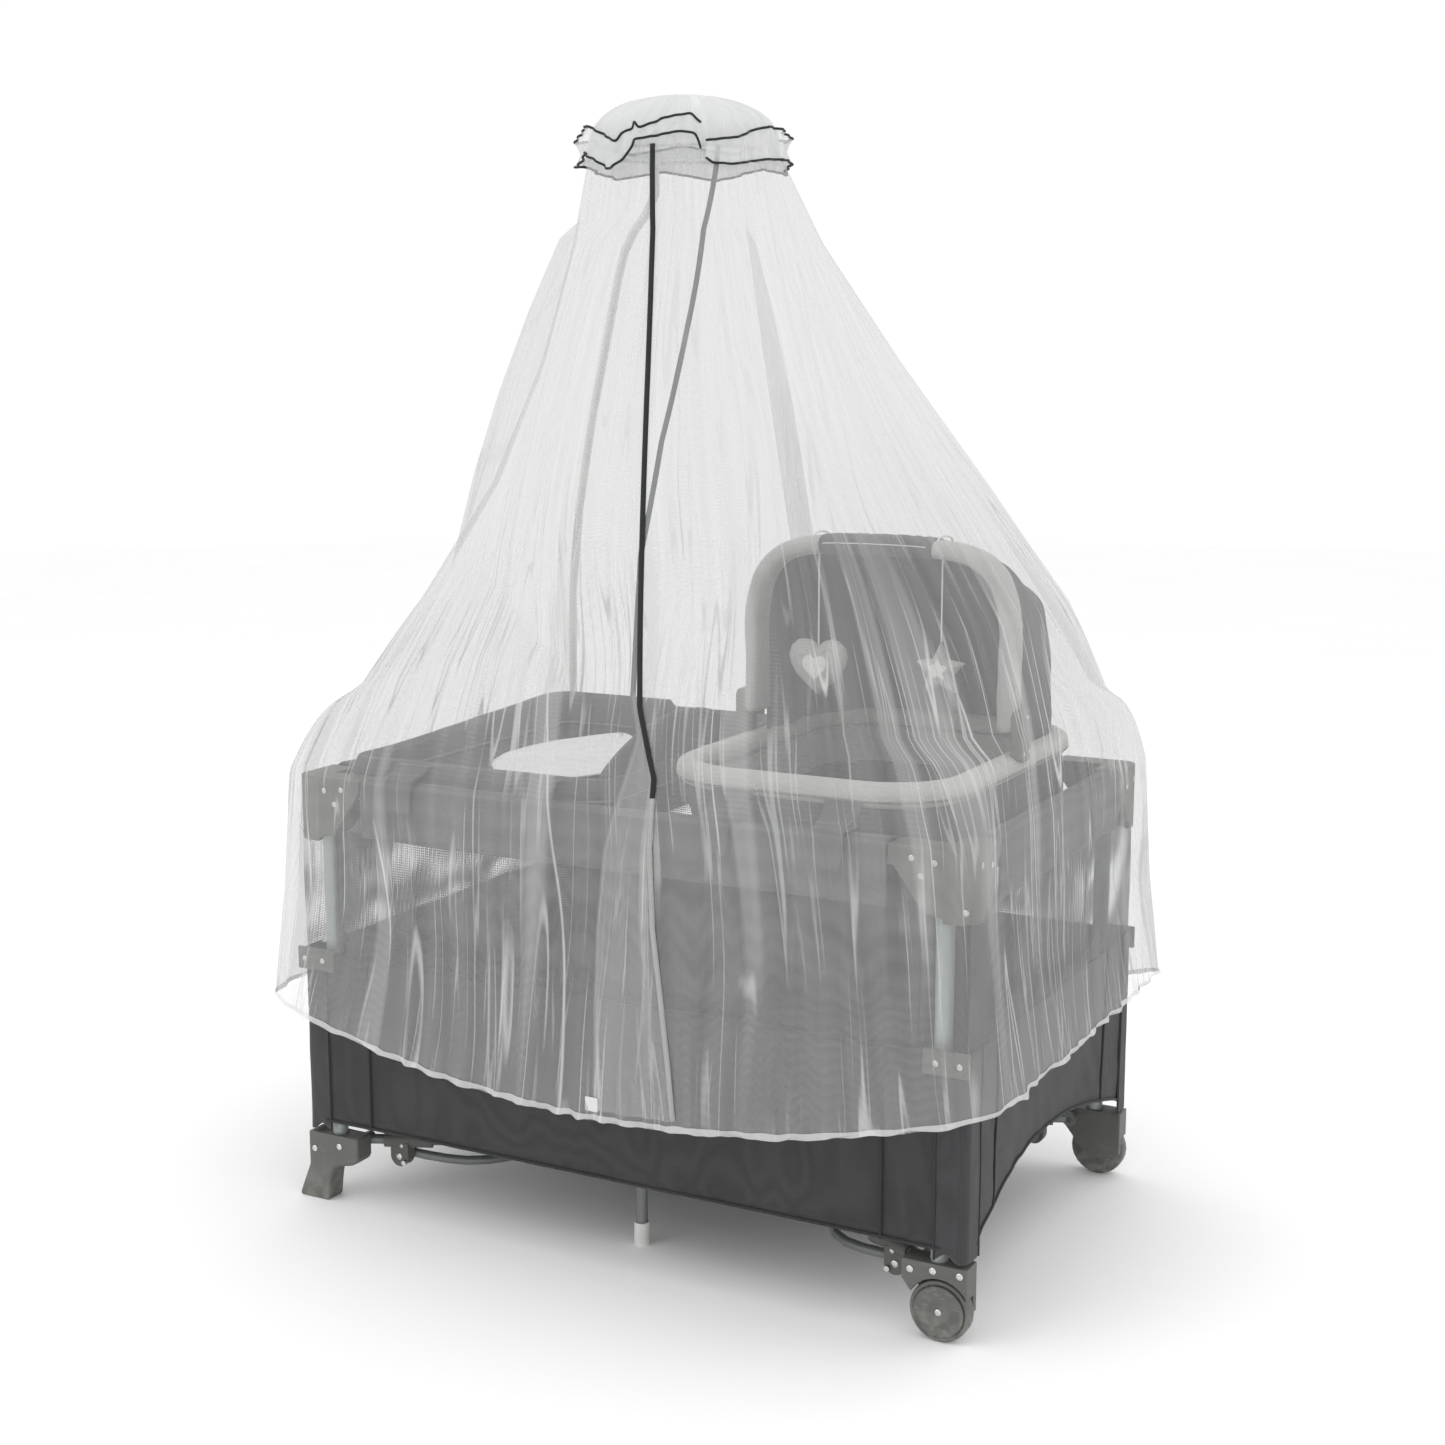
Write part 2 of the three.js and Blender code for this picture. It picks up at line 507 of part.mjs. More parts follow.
// The arch's middle line, in X and Z, from one pivot to the other.
function archPoints() {
  const { top, shoulder } = HOOD;
  const half = [[hoodX, HINGE.pivotZ], [hoodX, shoulder], [hoodX - 22, top - 46], [hoodX - 84, top - 8]];
  const right = half.map(([x, z]) => [NAPPER.x + x, 0, z]);
  const left = half.map(([x, z]) => [NAPPER.x - x, 0, z]).reverse();
  return [...right, [NAPPER.x, 0, top], ...left];
}

function hoodBow() {
  const added = [smooth(archPoints(), HOOD.r, 20, 10)];
  const removed = [];
  for (const s of [-1, 1]) {
    const x = NAPPER.x + s * hoodX;
    added.push(alongX(HOOD.bossR, x - HOOD.bossW / 2, x + HOOD.bossW / 2, 0, HINGE.pivotZ));
    removed.push(alongX(HINGE.pinR + RUN, x - HOOD.bossW, x + HOOD.bossW, 0, HINGE.pivotZ, 10));
  }
  return shaped(added, removed);
}
place(cot, "hood_bow", hoodBow(), paintedTube);

// The space under the hood's cloth, shrunk by an inset, from y0 to y1.
function hoodSpace(inset, y0, y1, bottom) {
  const half = hoodX - 3 - inset;
  const top = HOOD.top - COVER.drop - inset;
  const s = new THREE.Shape();
  s.moveTo(-half, bottom).lineTo(half, bottom).lineTo(half, HOOD.shoulder);
  s.bezierCurveTo(half, top - 40, half - 50, top, half - 130, top);
  s.lineTo(130 - half, top);
  s.bezierCurveTo(50 - half, top, -half, top - 40, -half, HOOD.shoulder);
  const depth = y1 - y0;
  const g = new THREE.ExtrudeGeometry(s, { depth, steps: 8, bevelEnabled: false, curveSegments: 4 });
  g.rotateX(Math.PI / 2).translate(0, y1, 0);
  return warp(g, (p) => {
    const y = Math.max(p.y, 0);
    const rise = Math.sqrt(Math.max(1 - (y / (NAPPER.halfY + 14)) ** 2, 0.01));
    const bend = THREE.MathUtils.clamp(y - (NAPPER.halfY - NAPPER.corner), 0, 0.97 * NAPPER.corner);
    const round = (NAPPER.halfX - NAPPER.corner + Math.sqrt(NAPPER.corner ** 2 - bend ** 2)) / NAPPER.halfX;
    p.x = NAPPER.x + p.x * round;
    p.z = COVER.base + (p.z - COVER.base) * rise;
  });
}
const hoodCloth = shaped(
  [hoodSpace(0, COVER.y0, COVER.y1, COVER.base)],
  [hoodSpace(COVER.t, COVER.y0 - 30, COVER.y1 - 6, COVER.base - 40)],
);
place(cot, "hood_cover", hoodCloth, greyCloth);

// ---- Toys on strings under the arch -------------------------------------------------------------
function heartShape(size) {
  const s = new THREE.Shape();
  s.moveTo(0, 0.62 * size);
  s.bezierCurveTo(0.15 * size, 1.02 * size, size, 1.02 * size, size, 0.35 * size);
  s.bezierCurveTo(size, -0.2 * size, 0.3 * size, -0.6 * size, 0, -0.9 * size);
  s.bezierCurveTo(-0.3 * size, -0.6 * size, -size, -0.2 * size, -size, 0.35 * size);
  s.bezierCurveTo(-size, 1.02 * size, -0.15 * size, 1.02 * size, 0, 0.62 * size);
  return s;
}

function starShape(outer, inner) {
  const points = [];
  for (let i = 0; i < 10; i++) {
    const a = Math.PI / 2 + (i * Math.PI) / 5;
    const r = i % 2 ? inner : outer;
    points.push([r * Math.cos(a), r * Math.sin(a)]);
  }
  return outline(points);
}

const stringTop = HOOD.top - HOOD.r - 6;
for (const [name, x, drop, shape, topZ] of [
  ["heart", TOYS.heartX, TOYS.heartDrop, heartShape(TOYS.heart), 0.62 * TOYS.heart + TOYS.notch],
  ["star", TOYS.starX, TOYS.starDrop, starShape(TOYS.star, 0.5 * TOYS.star), TOYS.star],
]) {
  const z = stringTop - drop;
  const string = straight([x, 0, stringTop], [x, 0, z + GAP], TOYS.stringR, 8);
  place(cot, `toy_string_${name}`, string, whiteCloth);
  const toy = plateXZ(shape, -TOYS.t / 2, TOYS.t / 2).translate(x, 0, z - topZ);
  place(cot, `toy_${name}`, toy, paleCloth);
}

// ---- Changing tray on the left half ----------------------------------------------------------------
const trayHooks = hooks(CHANGER.x0 + 170, CHANGER.x1 - 120, CHANGER.halfY, CHANGER.z);
place(
  cot,
  "changer_frame",
  shaped([
    loopBar(
      CHANGER.x0 + CHANGER.tubeR, CHANGER.x1 - CHANGER.tubeR,
      -CHANGER.halfY, CHANGER.halfY, CHANGER.corner, CHANGER.tubeR, CHANGER.z,
    ),
    ...trayHooks,
  ]),
  paintedTube,
);

const trayX = (CHANGER.x0 + CHANGER.x1) / 2;
const trayHalfX = (CHANGER.x1 - CHANGER.x0) / 2 - 2 * CHANGER.tubeR - TRAY.frameGap;
const trayHalfY = CHANGER.halfY - CHANGER.tubeR - TRAY.frameGap;
const trayTop = CHANGER.z + CHANGER.tubeR;
const tray = taperedBlock(trayX, trayHalfX, trayHalfY, 50, TRAY.bottom, trayTop, 26);
const trayHollow = taperedBlock(
  trayX, trayHalfX - TRAY.wall, trayHalfY - TRAY.wall, 40, TRAY.bottom + TRAY.floor, trayTop + 4, 26,
);

// The raised side is a soft rounded flap that stands out of the tray's wall.
function trayWing() {
  const { t, y0, y1, top } = WING;
  const low = TRAY.bottom + TRAY.floor + 20;
  const mid = (y0 + y1) / 2;
  const s = new THREE.Shape();
  s.moveTo(y0, low).lineTo(y0, trayTop - 10);
  s.bezierCurveTo(y0 + 30, top - 20, y0 + 80, top, mid - 40, top);
  s.bezierCurveTo(mid + 80, top, y1 - 90, top - 20, y1, trayTop - 10);
  s.lineTo(y1, low);
  const edge = trayX + trayHalfX - WING.in;
  return plateYZ(s, edge - t, edge);
}
place(cot, "changer_pad", shaped([tray, trayWing()], [trayHollow]), greyCloth);

const matZ = TRAY.bottom + TRAY.floor + GAP;
const mat = new THREE.Shape();
mat.absellipse(0, 0, MAT.halfX, MAT.halfY, 0, 2 * Math.PI);
place(cot, "changer_mat", extrude(mat, MAT.t).translate(MAT.x, MAT.y, matZ), whiteCloth);

// ---- Net canopy -----------------------------------------------------------------------------
const poleAngle = Math.atan2(POLE.y, POLE.x - RING.x);
const ringEnd = [RING.x + RING.r * Math.cos(poleAngle), RING.r * Math.sin(poleAngle)];
const poleFoot = RAIL_TOP + 2 + GAP;

// The pole stands straight out of its socket and then leans in to the ring.
const LEAN = [[1010, 0.985], [1120, 0.93], [1260, 0.81], [1400, 0.66], [1540, 0.48], [1660, 0.3]];
function netPole() {
  const points = [[POLE.x, POLE.y, poleFoot], [POLE.x, POLE.y, RAIL_TOP + 140]];
  for (const [z, share] of LEAN) {
    points.push([
      ringEnd[0] + (POLE.x - ringEnd[0]) * share,
      ringEnd[1] + (POLE.y - ringEnd[1]) * share,
      z,
    ]);
  }
  points.push([...ringEnd, RING.z - 60], [...ringEnd, RING.z + 4]);
  return smooth(points, POLE.r, 20, 10);
}
place(cot, "net_pole", netPole(), whitePlastic);

const hoop = new THREE.TorusGeometry(RING.r, RING.wire, 6, 32).translate(RING.x, 0, RING.z);
const holder = alongZ(POLE.r + 4, RING.z - 14, RING.z + 12, ...ringEnd, 10);
const holderBore = alongZ(POLE.r + 2 * GAP, RING.z - 20, RING.z + 5, ...ringEnd, 10);
place(cot, "net_ring", shaped([hoop, holder], [holderBore]), whitePlastic);

// Sections of the net: height, left and right reach in X, half depth in Y, and squareness.
const SECTIONS = [
  [RING.z, RING.x - NET.round, RING.x + NET.round, NET.round, 2],
  [1650, -262, 158, 187, 2.05],
  [1450, -322, 300, 237, 2.2],
  [1250, -400, 448, 292, 2.6],
  [1060, -505, 572, HALF_W - 50, 3.4],
  [900, 27.5 - HALF_L, HALF_L - 2, HALF_W - 10, 5],
  [RAIL_TOP + 6, -HALF_L - 18, HALF_L + 18, HALF_W + 18, 30],
  [560, -HALF_L - 26, HALF_L + 26, HALF_W + 26, 30],
  [NET.hemCorner, -NET.flareX, NET.flareX, NET.flareY, 20],
];
const TENT_SLOPE = 1.1; // how fast the net falls away on each side of the pole
const TENT_ROOM = 44; // between the pole and the net that passes outside it

function netProfile() {
  const r = NET.round;
  const outer = [[0, NET.top], [0.55 * r, NET.top - 8], [0.9 * r, NET.top - 38], [r, RING.z + 30]];
  SECTIONS.forEach(([z], i) => {
    const above = i ? SECTIONS[i - 1][0] : z;
    for (const t of i ? [0.5, 1] : [1]) outer.push([r, above + (z - above) * t]);
  });
  const inner = outer.slice(0, -1).map(([a, z], i) => [a ? a - NET.t : 0, z - (i < 3 ? NET.t : 0)]);
  const bottom = outer[outer.length - 1];
  return [...inner, [bottom[0] - NET.t, bottom[1]], ...outer.reverse()];
}

function sectionAt(z) {
  let i = 1;
  while (i < SECTIONS.length - 1 && SECTIONS[i][0] > z) i++;
  const [a, b] = [SECTIONS[i - 1], SECTIONS[i]];
  const t = THREE.MathUtils.clamp((a[0] - z) / (a[0] - b[0]), 0, 1);
  return a.map((value, k) => value + (b[k] - value) * t);
}

// How far from the ring's axis the net has to stand to pass outside the pole.
function poleReach(z) {
  if (z < RAIL_TOP || z > RING.z - 60) return 0;
  const knots = [[RAIL_TOP, 1], [900, 1], ...LEAN, [RING.z - 60, 0]];
  const i = knots.findIndex(([height]) => height > z);
  const [a, b] = [knots[i - 1] ?? knots[0], knots[i] ?? knots[knots.length - 1]];
  const share = a[1] + ((b[1] - a[1]) * (z - a[0])) / Math.max(b[0] - a[0], 1);
  const x = ringEnd[0] + (POLE.x - ringEnd[0]) * share - RING.x;
  const y = ringEnd[1] + (POLE.y - ringEnd[1]) * share;
  return Math.hypot(x, y) + POLE.r + TENT_ROOM;
}

function netDrape() {
  const g = new THREE.LatheGeometry(netProfile().map(([a, z]) => new THREE.Vector2(a, z)), NET.segments);
  g.rotateX(Math.PI / 2);
  return warp(g, (p) => {
    const depth = NET.round - Math.hypot(p.x, p.y);
    if (p.z > RING.z) {
      p.x += RING.x;
      return;
    }
    const [, x0, x1, half, n] = sectionAt(p.z);
    const middle = (x0 + x1) / 2;
    // The eighths of the circle are stretched so that one of them falls on the corner.
    const square = Math.atan2(Math.abs(p.y), Math.abs(p.x)) / (Math.PI / 4);
    const corner = Math.atan2(half, (x1 - x0) / 2);
    const angle = square < 1 ? square * corner : corner + (square - 1) * (Math.PI / 2 - corner);
    const [c, s] = [Math.cos(angle) * Math.sign(p.x), Math.sin(angle) * Math.sign(p.y)];
    const reach = (Math.abs(c / ((x1 - x0) / 2)) ** n + Math.abs(s / half) ** n) ** (-1 / n);
    const [x, y] = [middle + reach * c, reach * s];
    const own = Math.hypot(x - RING.x, y);
    const turned = Math.atan2(y, x - RING.x) - poleAngle;
    const tent = poleReach(p.z) / (Math.cos(turned) + TENT_SLOPE * Math.abs(Math.sin(turned)));
    const share = (Math.abs(turned) < 1 ? Math.max(own, tent) : own) / own;
    p.x = RING.x + (x - RING.x) * (share - depth / own);
    p.y = y * (share - depth / own);
    const edge = Math.min(Math.abs(p.x) / NET.flareX, 1) ** 2;
    const hem = NET.hemFront + (NET.hemCorner - NET.hemFront) * edge;
    if (p.z < RAIL_TOP) {
      const low = (RAIL_TOP - p.z) / (RAIL_TOP - NET.hemCorner);
      p.z = RAIL_TOP - low * (RAIL_TOP - hem);
    }
  });
}
place(cot, "net_drape", toGeometry(toSolid(netDrape())), whiteNet);

export default cot;
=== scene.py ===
"""A travel cot with a bassinet, a changing tray and a net canopy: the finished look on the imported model.

Sizes are in metres, with Z up, X to the right and the long open side towards -Y. Each sub-assembly is a class
that holds its sizes, builds its meshes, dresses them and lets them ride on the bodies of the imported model.
"""

from __future__ import annotations

import json
import logging
import math
import sys
from dataclasses import dataclass, field
from enum import Enum
from typing import Callable, Iterable, Sequence

import bmesh
import bpy
from mathutils import Matrix, Vector, noise

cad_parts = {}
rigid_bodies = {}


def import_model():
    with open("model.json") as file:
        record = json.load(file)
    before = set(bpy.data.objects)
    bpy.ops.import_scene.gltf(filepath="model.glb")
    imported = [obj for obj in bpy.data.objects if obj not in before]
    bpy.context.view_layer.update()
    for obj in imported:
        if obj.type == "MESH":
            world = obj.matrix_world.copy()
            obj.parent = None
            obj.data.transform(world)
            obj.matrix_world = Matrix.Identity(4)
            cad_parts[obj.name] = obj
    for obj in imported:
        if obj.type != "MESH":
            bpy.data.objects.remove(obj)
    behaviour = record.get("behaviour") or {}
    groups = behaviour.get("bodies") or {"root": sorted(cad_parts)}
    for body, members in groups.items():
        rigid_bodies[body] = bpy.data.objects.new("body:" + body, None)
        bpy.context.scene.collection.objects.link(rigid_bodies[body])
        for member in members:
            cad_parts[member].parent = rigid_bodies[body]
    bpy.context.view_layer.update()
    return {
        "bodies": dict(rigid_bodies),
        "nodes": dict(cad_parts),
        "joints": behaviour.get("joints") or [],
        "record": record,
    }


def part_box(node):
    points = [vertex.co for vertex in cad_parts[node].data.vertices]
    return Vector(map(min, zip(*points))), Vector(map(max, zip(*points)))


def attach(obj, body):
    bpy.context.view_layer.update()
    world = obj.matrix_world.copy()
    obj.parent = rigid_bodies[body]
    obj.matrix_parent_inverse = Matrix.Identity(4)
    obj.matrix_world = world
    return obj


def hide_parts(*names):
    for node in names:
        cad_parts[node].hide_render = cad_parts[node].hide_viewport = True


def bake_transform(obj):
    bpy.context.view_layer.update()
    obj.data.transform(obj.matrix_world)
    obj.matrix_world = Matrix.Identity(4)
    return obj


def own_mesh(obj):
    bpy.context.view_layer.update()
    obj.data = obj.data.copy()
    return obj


LOG = logging.getLogger("travel_cot")
Thing = bpy.types.Object
Rule = Callable[[float, float], Vector]


class Body(str, Enum):
    """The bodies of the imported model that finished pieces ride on."""

    LEFT = "end_frame_left"
    RIGHT = "end_frame_right"
    HUB = "hub"
    ARMS_LEFT = "arms_left"
    ARMS_RIGHT = "arms_right"
    NAPPER = "napper"
    HOOD = "hood"
    CHANGER = "changer"
    CANOPY = "canopy"
    HEART = "toy_heart"
    STAR = "toy_star"


class Side(Enum):
    """The two long sides, with the sign of Y on each."""

    FRONT = -1
    REAR = 1


# ---- Shader graphs ---------------------------------------------------------------------------


class Graph:
    """Shorthand for building a node tree."""

    def __init__(self, tree: bpy.types.NodeTree) -> None:
        """Keeps the tree that the nodes go into."""
        self.tree = tree

    def node(self, kind: str, **settings: object) -> bpy.types.Node:
        """Adds a node.

        Args:
            kind: the node's type name.
            settings: properties to set on it.
        Returns:
            The new node.
        """
        made = self.tree.nodes.new(kind)
        for key, value in settings.items():
            setattr(made, key, value)
        return made

    def feed(self, source: object, socket: bpy.types.NodeSocket) -> None:
        """Links a socket, or sets a plain value."""
        if isinstance(source, bpy.types.NodeSocket):
            self.tree.links.new(source, socket)
        else:
            socket.default_value = source

    def math(self, op: str, a: object, b: object = 0.0, clamp: bool = False) -> bpy.types.NodeSocket:
        """Adds a Math node and returns its value."""
        made = self.node("ShaderNodeMath", operation=op, use_clamp=clamp)
        self.feed(a, made.inputs[0])
        self.feed(b, made.inputs[1])
        return made.outputs[0]

    def remap(self, value: object, lo: float, hi: float, a: float = 0.0, b: float = 1.0) -> bpy.types.NodeSocket:
        """Maps lo..hi to a..b smoothly and returns the value."""
        made = self.node("ShaderNodeMapRange", interpolation_type="SMOOTHSTEP")
        self.feed(value, made.inputs["Value"])
        for name, number in (("From Min", lo), ("From Max", hi), ("To Min", a), ("To Max", b)):
            made.inputs[name].default_value = number
        return made.outputs["Result"]

    def mix(self, share: object, a: object, b: object) -> bpy.types.NodeSocket:
        """Mixes two colours and returns the colour."""
        made = self.node("ShaderNodeMix", data_type="RGBA")
        self.feed(share, made.inputs["Factor"])
        self.feed(a, made.inputs[6])
        self.feed(b, made.inputs[7])
        return made.outputs[2]

    def scaled(self, vector: object, scale: Sequence[float]) -> bpy.types.NodeSocket:
        """Multiplies a vector by a scale and returns it."""
        made = self.node("ShaderNodeVectorMath", operation="MULTIPLY")
        self.feed(vector, made.inputs[0])
        made.inputs[1].default_value = scale
        return made.outputs[0]

    def clouds(self, vector: object, scale: float, detail: float = 2.0, warp: float = 0.0) -> bpy.types.NodeSocket:
        """Adds a noise texture and returns its value."""
        made = self.node("ShaderNodeTexNoise")
        self.feed(vector, made.inputs["Vector"])
        made.inputs["Scale"].default_value = scale
        made.inputs["Detail"].default_value = detail
        made.inputs["Distortion"].default_value = warp
        return made.outputs["Fac"]

    def place(self) -> bpy.types.NodeSocket:
        """Returns the object coordinates."""
        return self.node("ShaderNodeTexCoord").outputs["Object"]

    def threads(self, vector: object, pitch: object) -> bpy.types.NodeSocket:
        """Sums a fine wave along each axis, from about -1 to 1, and returns it."""
        turns = self.math("DIVIDE", 2 * math.pi, pitch)
        parts = self.node("ShaderNodeSeparateXYZ")
        self.feed(vector, parts.inputs[0])
        waves = [self.math("SINE", self.math("MULTIPLY", axis, turns)) for axis in parts.outputs]
        return self.math("DIVIDE", self.math("ADD", self.math("ADD", waves[0], waves[1]), waves[2]), 3.0)


def new_group(name: str, inputs: dict[str, object], outputs: Iterable[str]) -> tuple[Graph, dict, dict]:
    """Starts a shader node group.

    Args:
        name: the group's name.
        inputs: name to default value; a tuple is a colour.
        outputs: output names; one that ends in Color is a colour.
    Returns:
        The graph, its input sockets by name and its output sockets by name.
    """
    tree = bpy.data.node_groups.new(name, "ShaderNodeTree")
    for key, value in inputs.items():
        kind = "NodeSocketColor" if isinstance(value, tuple) else "NodeSocketFloat"
        made = tree.interface.new_socket(key, in_out="INPUT", socket_type=kind)
        made.default_value = value
    for key in outputs:
        kind = "NodeSocketColor" if key.endswith("Color") else "NodeSocketFloat"
        tree.interface.new_socket(key, in_out="OUTPUT", socket_type=kind)
    graph = Graph(tree)
    start, end = graph.node("NodeGroupInput"), graph.node("NodeGroupOutput")
    return graph, {s.name: s for s in start.outputs if s.name}, {s.name: s for s in end.inputs if s.name}


class Effects:
    """The shader node groups that several finishes share."""

    def __init__(self) -> None:
        """Builds each group once."""
        self.weave = self._weave()
        self.moulding = self._moulding()
        self.holes = self._holes()
        self.folds = self._folds()

    def _weave(self) -> bpy.types.NodeTree:
        """Threads that cross, with slight streaks and mottling of the dye."""
        inputs = {"Tone": (0.1, 0.1, 0.1, 1.0), "Pitch": 0.0012, "Thread": 0.3, "Mottle": 0.1}
        g, i, o = new_group("woven_threads", inputs, ("Color", "Height"))
        at = g.place()
        wave = g.threads(at, i["Pitch"])
        fine = g.clouds(g.scaled(at, (1, 1, 1)), 420.0, 1.0)
        broad = g.clouds(at, 7.0, 3.0)
        slub = g.clouds(g.scaled(at, (30, 30, 320)), 1.0, 1.0)
        light = g.math("MULTIPLY", g.math("ADD", wave, g.math("SUBTRACT", fine, 0.5)), i["Thread"])
        drift = g.math("ADD", g.math("SUBTRACT", broad, 0.5), g.math("MULTIPLY", g.math("SUBTRACT", slub, 0.5), 0.6))
        light = g.math("ADD", light, g.math("MULTIPLY", drift, i["Mottle"]))
        shade = g.node("ShaderNodeVectorMath", operation="SCALE")
        g.feed(i["Tone"], shade.inputs[0])
        g.feed(g.math("ADD", 1.0, light), shade.inputs["Scale"])
        g.feed(shade.outputs[0], o["Color"])
        g.feed(g.math("ADD", wave, fine), o["Height"])
        return g.tree

    def _moulding(self) -> bpy.types.NodeTree:
        """The fine spark grain of moulded plastic or the orange peel of paint, with scuffs and a little dust low down."""
        inputs = {"Tone": (0.1, 0.1, 0.1, 1.0), "Grain": 900.0, "Scuff": 0.2, "Rough": 0.5, "Dust": 0.2}
        g, i, o = new_group("moulded_or_painted", inputs, ("Color", "Roughness", "Height"))
        at = g.place()
        grain = g.node("ShaderNodeTexNoise")
        g.feed(at, grain.inputs["Vector"])
        g.feed(i["Grain"], grain.inputs["Scale"])
        broad = g.clouds(at, 14.0, 3.0)
        scratch = g.remap(g.clouds(g.scaled(at, (60, 60, 400)), 1.0, 2.0, 0.6), 0.62, 0.72)
        marks = g.math("MULTIPLY", scratch, i["Scuff"])
        height = g.node("ShaderNodeSeparateXYZ")
        g.feed(at, height.inputs[0])
        low = g.math("MULTIPLY", g.remap(height.outputs[2], 0.09, 0.0), i["Dust"])
        low = g.math("MULTIPLY", low, g.remap(g.clouds(at, 55.0, 3.0), 0.35, 0.7))
        tone = g.mix(g.math("MULTIPLY", broad, 0.18), i["Tone"], (0.30, 0.30, 0.29, 1.0))
        tone = g.mix(g.math("MULTIPLY", marks, 0.5), tone, (0.42, 0.42, 0.40, 1.0))
        g.feed(g.mix(low, tone, (0.42, 0.40, 0.36, 1.0)), o["Color"])
        rough = g.math("ADD", i["Rough"], g.math("MULTIPLY", g.math("SUBTRACT", broad, 0.5), 0.16))
        g.feed(g.math("ADD", rough, g.math("MULTIPLY", marks, 0.2), clamp=True), o["Roughness"])
        g.feed(g.math("SUBTRACT", grain.outputs["Fac"], g.math("MULTIPLY", marks, 0.5)), o["Height"])
        return g.tree

    def _holes(self) -> bpy.types.NodeTree:
        """A knitted mesh: a mask that is 1 on the yarn and 0 in its holes."""
        inputs = {"Pitch": 0.003, "Open": 0.5}
        g, i, o = new_group("knitted_holes", inputs, ("Alpha", "Height"))
        wave = g.threads(g.place(), i["Pitch"])
        edge = g.math("SUBTRACT", wave, g.math("SUBTRACT", g.math("MULTIPLY", i["Open"], 0.9), 0.5))
        g.feed(g.math("ADD", g.math("MULTIPLY", edge, 5.0), 0.5, clamp=True), o["Alpha"])
        g.feed(wave, o["Height"])
        return g.tree

    def _folds(self) -> bpy.types.NodeTree:
        """Sheer netting: how solid it looks, from its yarn, its pleats and the sharp creases that run down it."""
        inputs = {"Sheer": 0.3, "Crease": 0.5, "Band": 0.25, "Hem": 0.0}
        g, i, o = new_group("net_folds", inputs, ("Alpha", "Height"))
        uv = g.node("ShaderNodeTexCoord").outputs["UV"]
        sway = g.clouds(g.scaled(uv, (1.1, 0.9, 1)), 1.6, 1.0)
        lean = g.node("ShaderNodeCombineXYZ")
        g.feed(g.math("MULTIPLY", g.math("SUBTRACT", sway, 0.5), 0.16), lean.inputs[0])
        moved = g.node("ShaderNodeVectorMath", operation="ADD")
        g.feed(uv, moved.inputs[0])
        g.feed(lean.outputs[0], moved.inputs[1])
        total: object = 0.0
        for across, down, thin, much in ((8.0, 0.7, 0.010, 1.0), (17.0, 0.9, 0.018, 0.75), (38.0, 1.5, 0.035, 0.5)):
            field_value = g.clouds(g.scaled(moved.outputs[0], (across, down, 1)), 1.0, 1.0, 0.06)
            ridge = g.math("ABSOLUTE", g.math("SUBTRACT", field_value, 0.5))
            line = g.remap(ridge, thin, 0.0)
            fade = g.remap(g.clouds(g.scaled(uv, (0.5 * across, 2.6, 1)), 1.0, 1.0), 0.47, 0.60)
            total = g.math("MAXIMUM", total, g.math("MULTIPLY", g.math("MULTIPLY", line, fade), much))
        band = g.remap(g.clouds(g.scaled(moved.outputs[0], (13.0, 0.6, 1)), 1.0, 0.0), 0.60, 0.70)
        down_way = g.node("ShaderNodeSeparateXYZ")
        g.feed(uv, down_way.inputs[0])
        lower = g.remap(down_way.outputs[1], 1.15, 0.62)
        fine = g.math("MULTIPLY", g.threads(g.place(), 0.0017), 0.05)
        cloud = g.math("MULTIPLY", g.math("SUBTRACT", g.clouds(g.scaled(moved.outputs[0], (30, 1.2, 1)), 1.0, 2.0), 0.5), 0.22)
        alpha = g.math("ADD", g.math("ADD", i["Sheer"], fine), cloud)
        much = g.math("ADD", 0.25, g.math("MULTIPLY", lower, 0.75))
        alpha = g.math("ADD", alpha, g.math("MULTIPLY", g.math("MULTIPLY", total, i["Crease"]), much))
        alpha = g.math("ADD", alpha, g.math("MULTIPLY", g.math("MULTIPLY", band, i["Band"]), much))
        alpha = g.math("MAXIMUM", alpha, i["Hem"])
        g.feed(g.math("MINIMUM", alpha, 0.93), o["Alpha"])
        g.feed(g.math("ADD", total, g.math("MULTIPLY", cloud, 2.0)), o["Height"])
        return g.tree


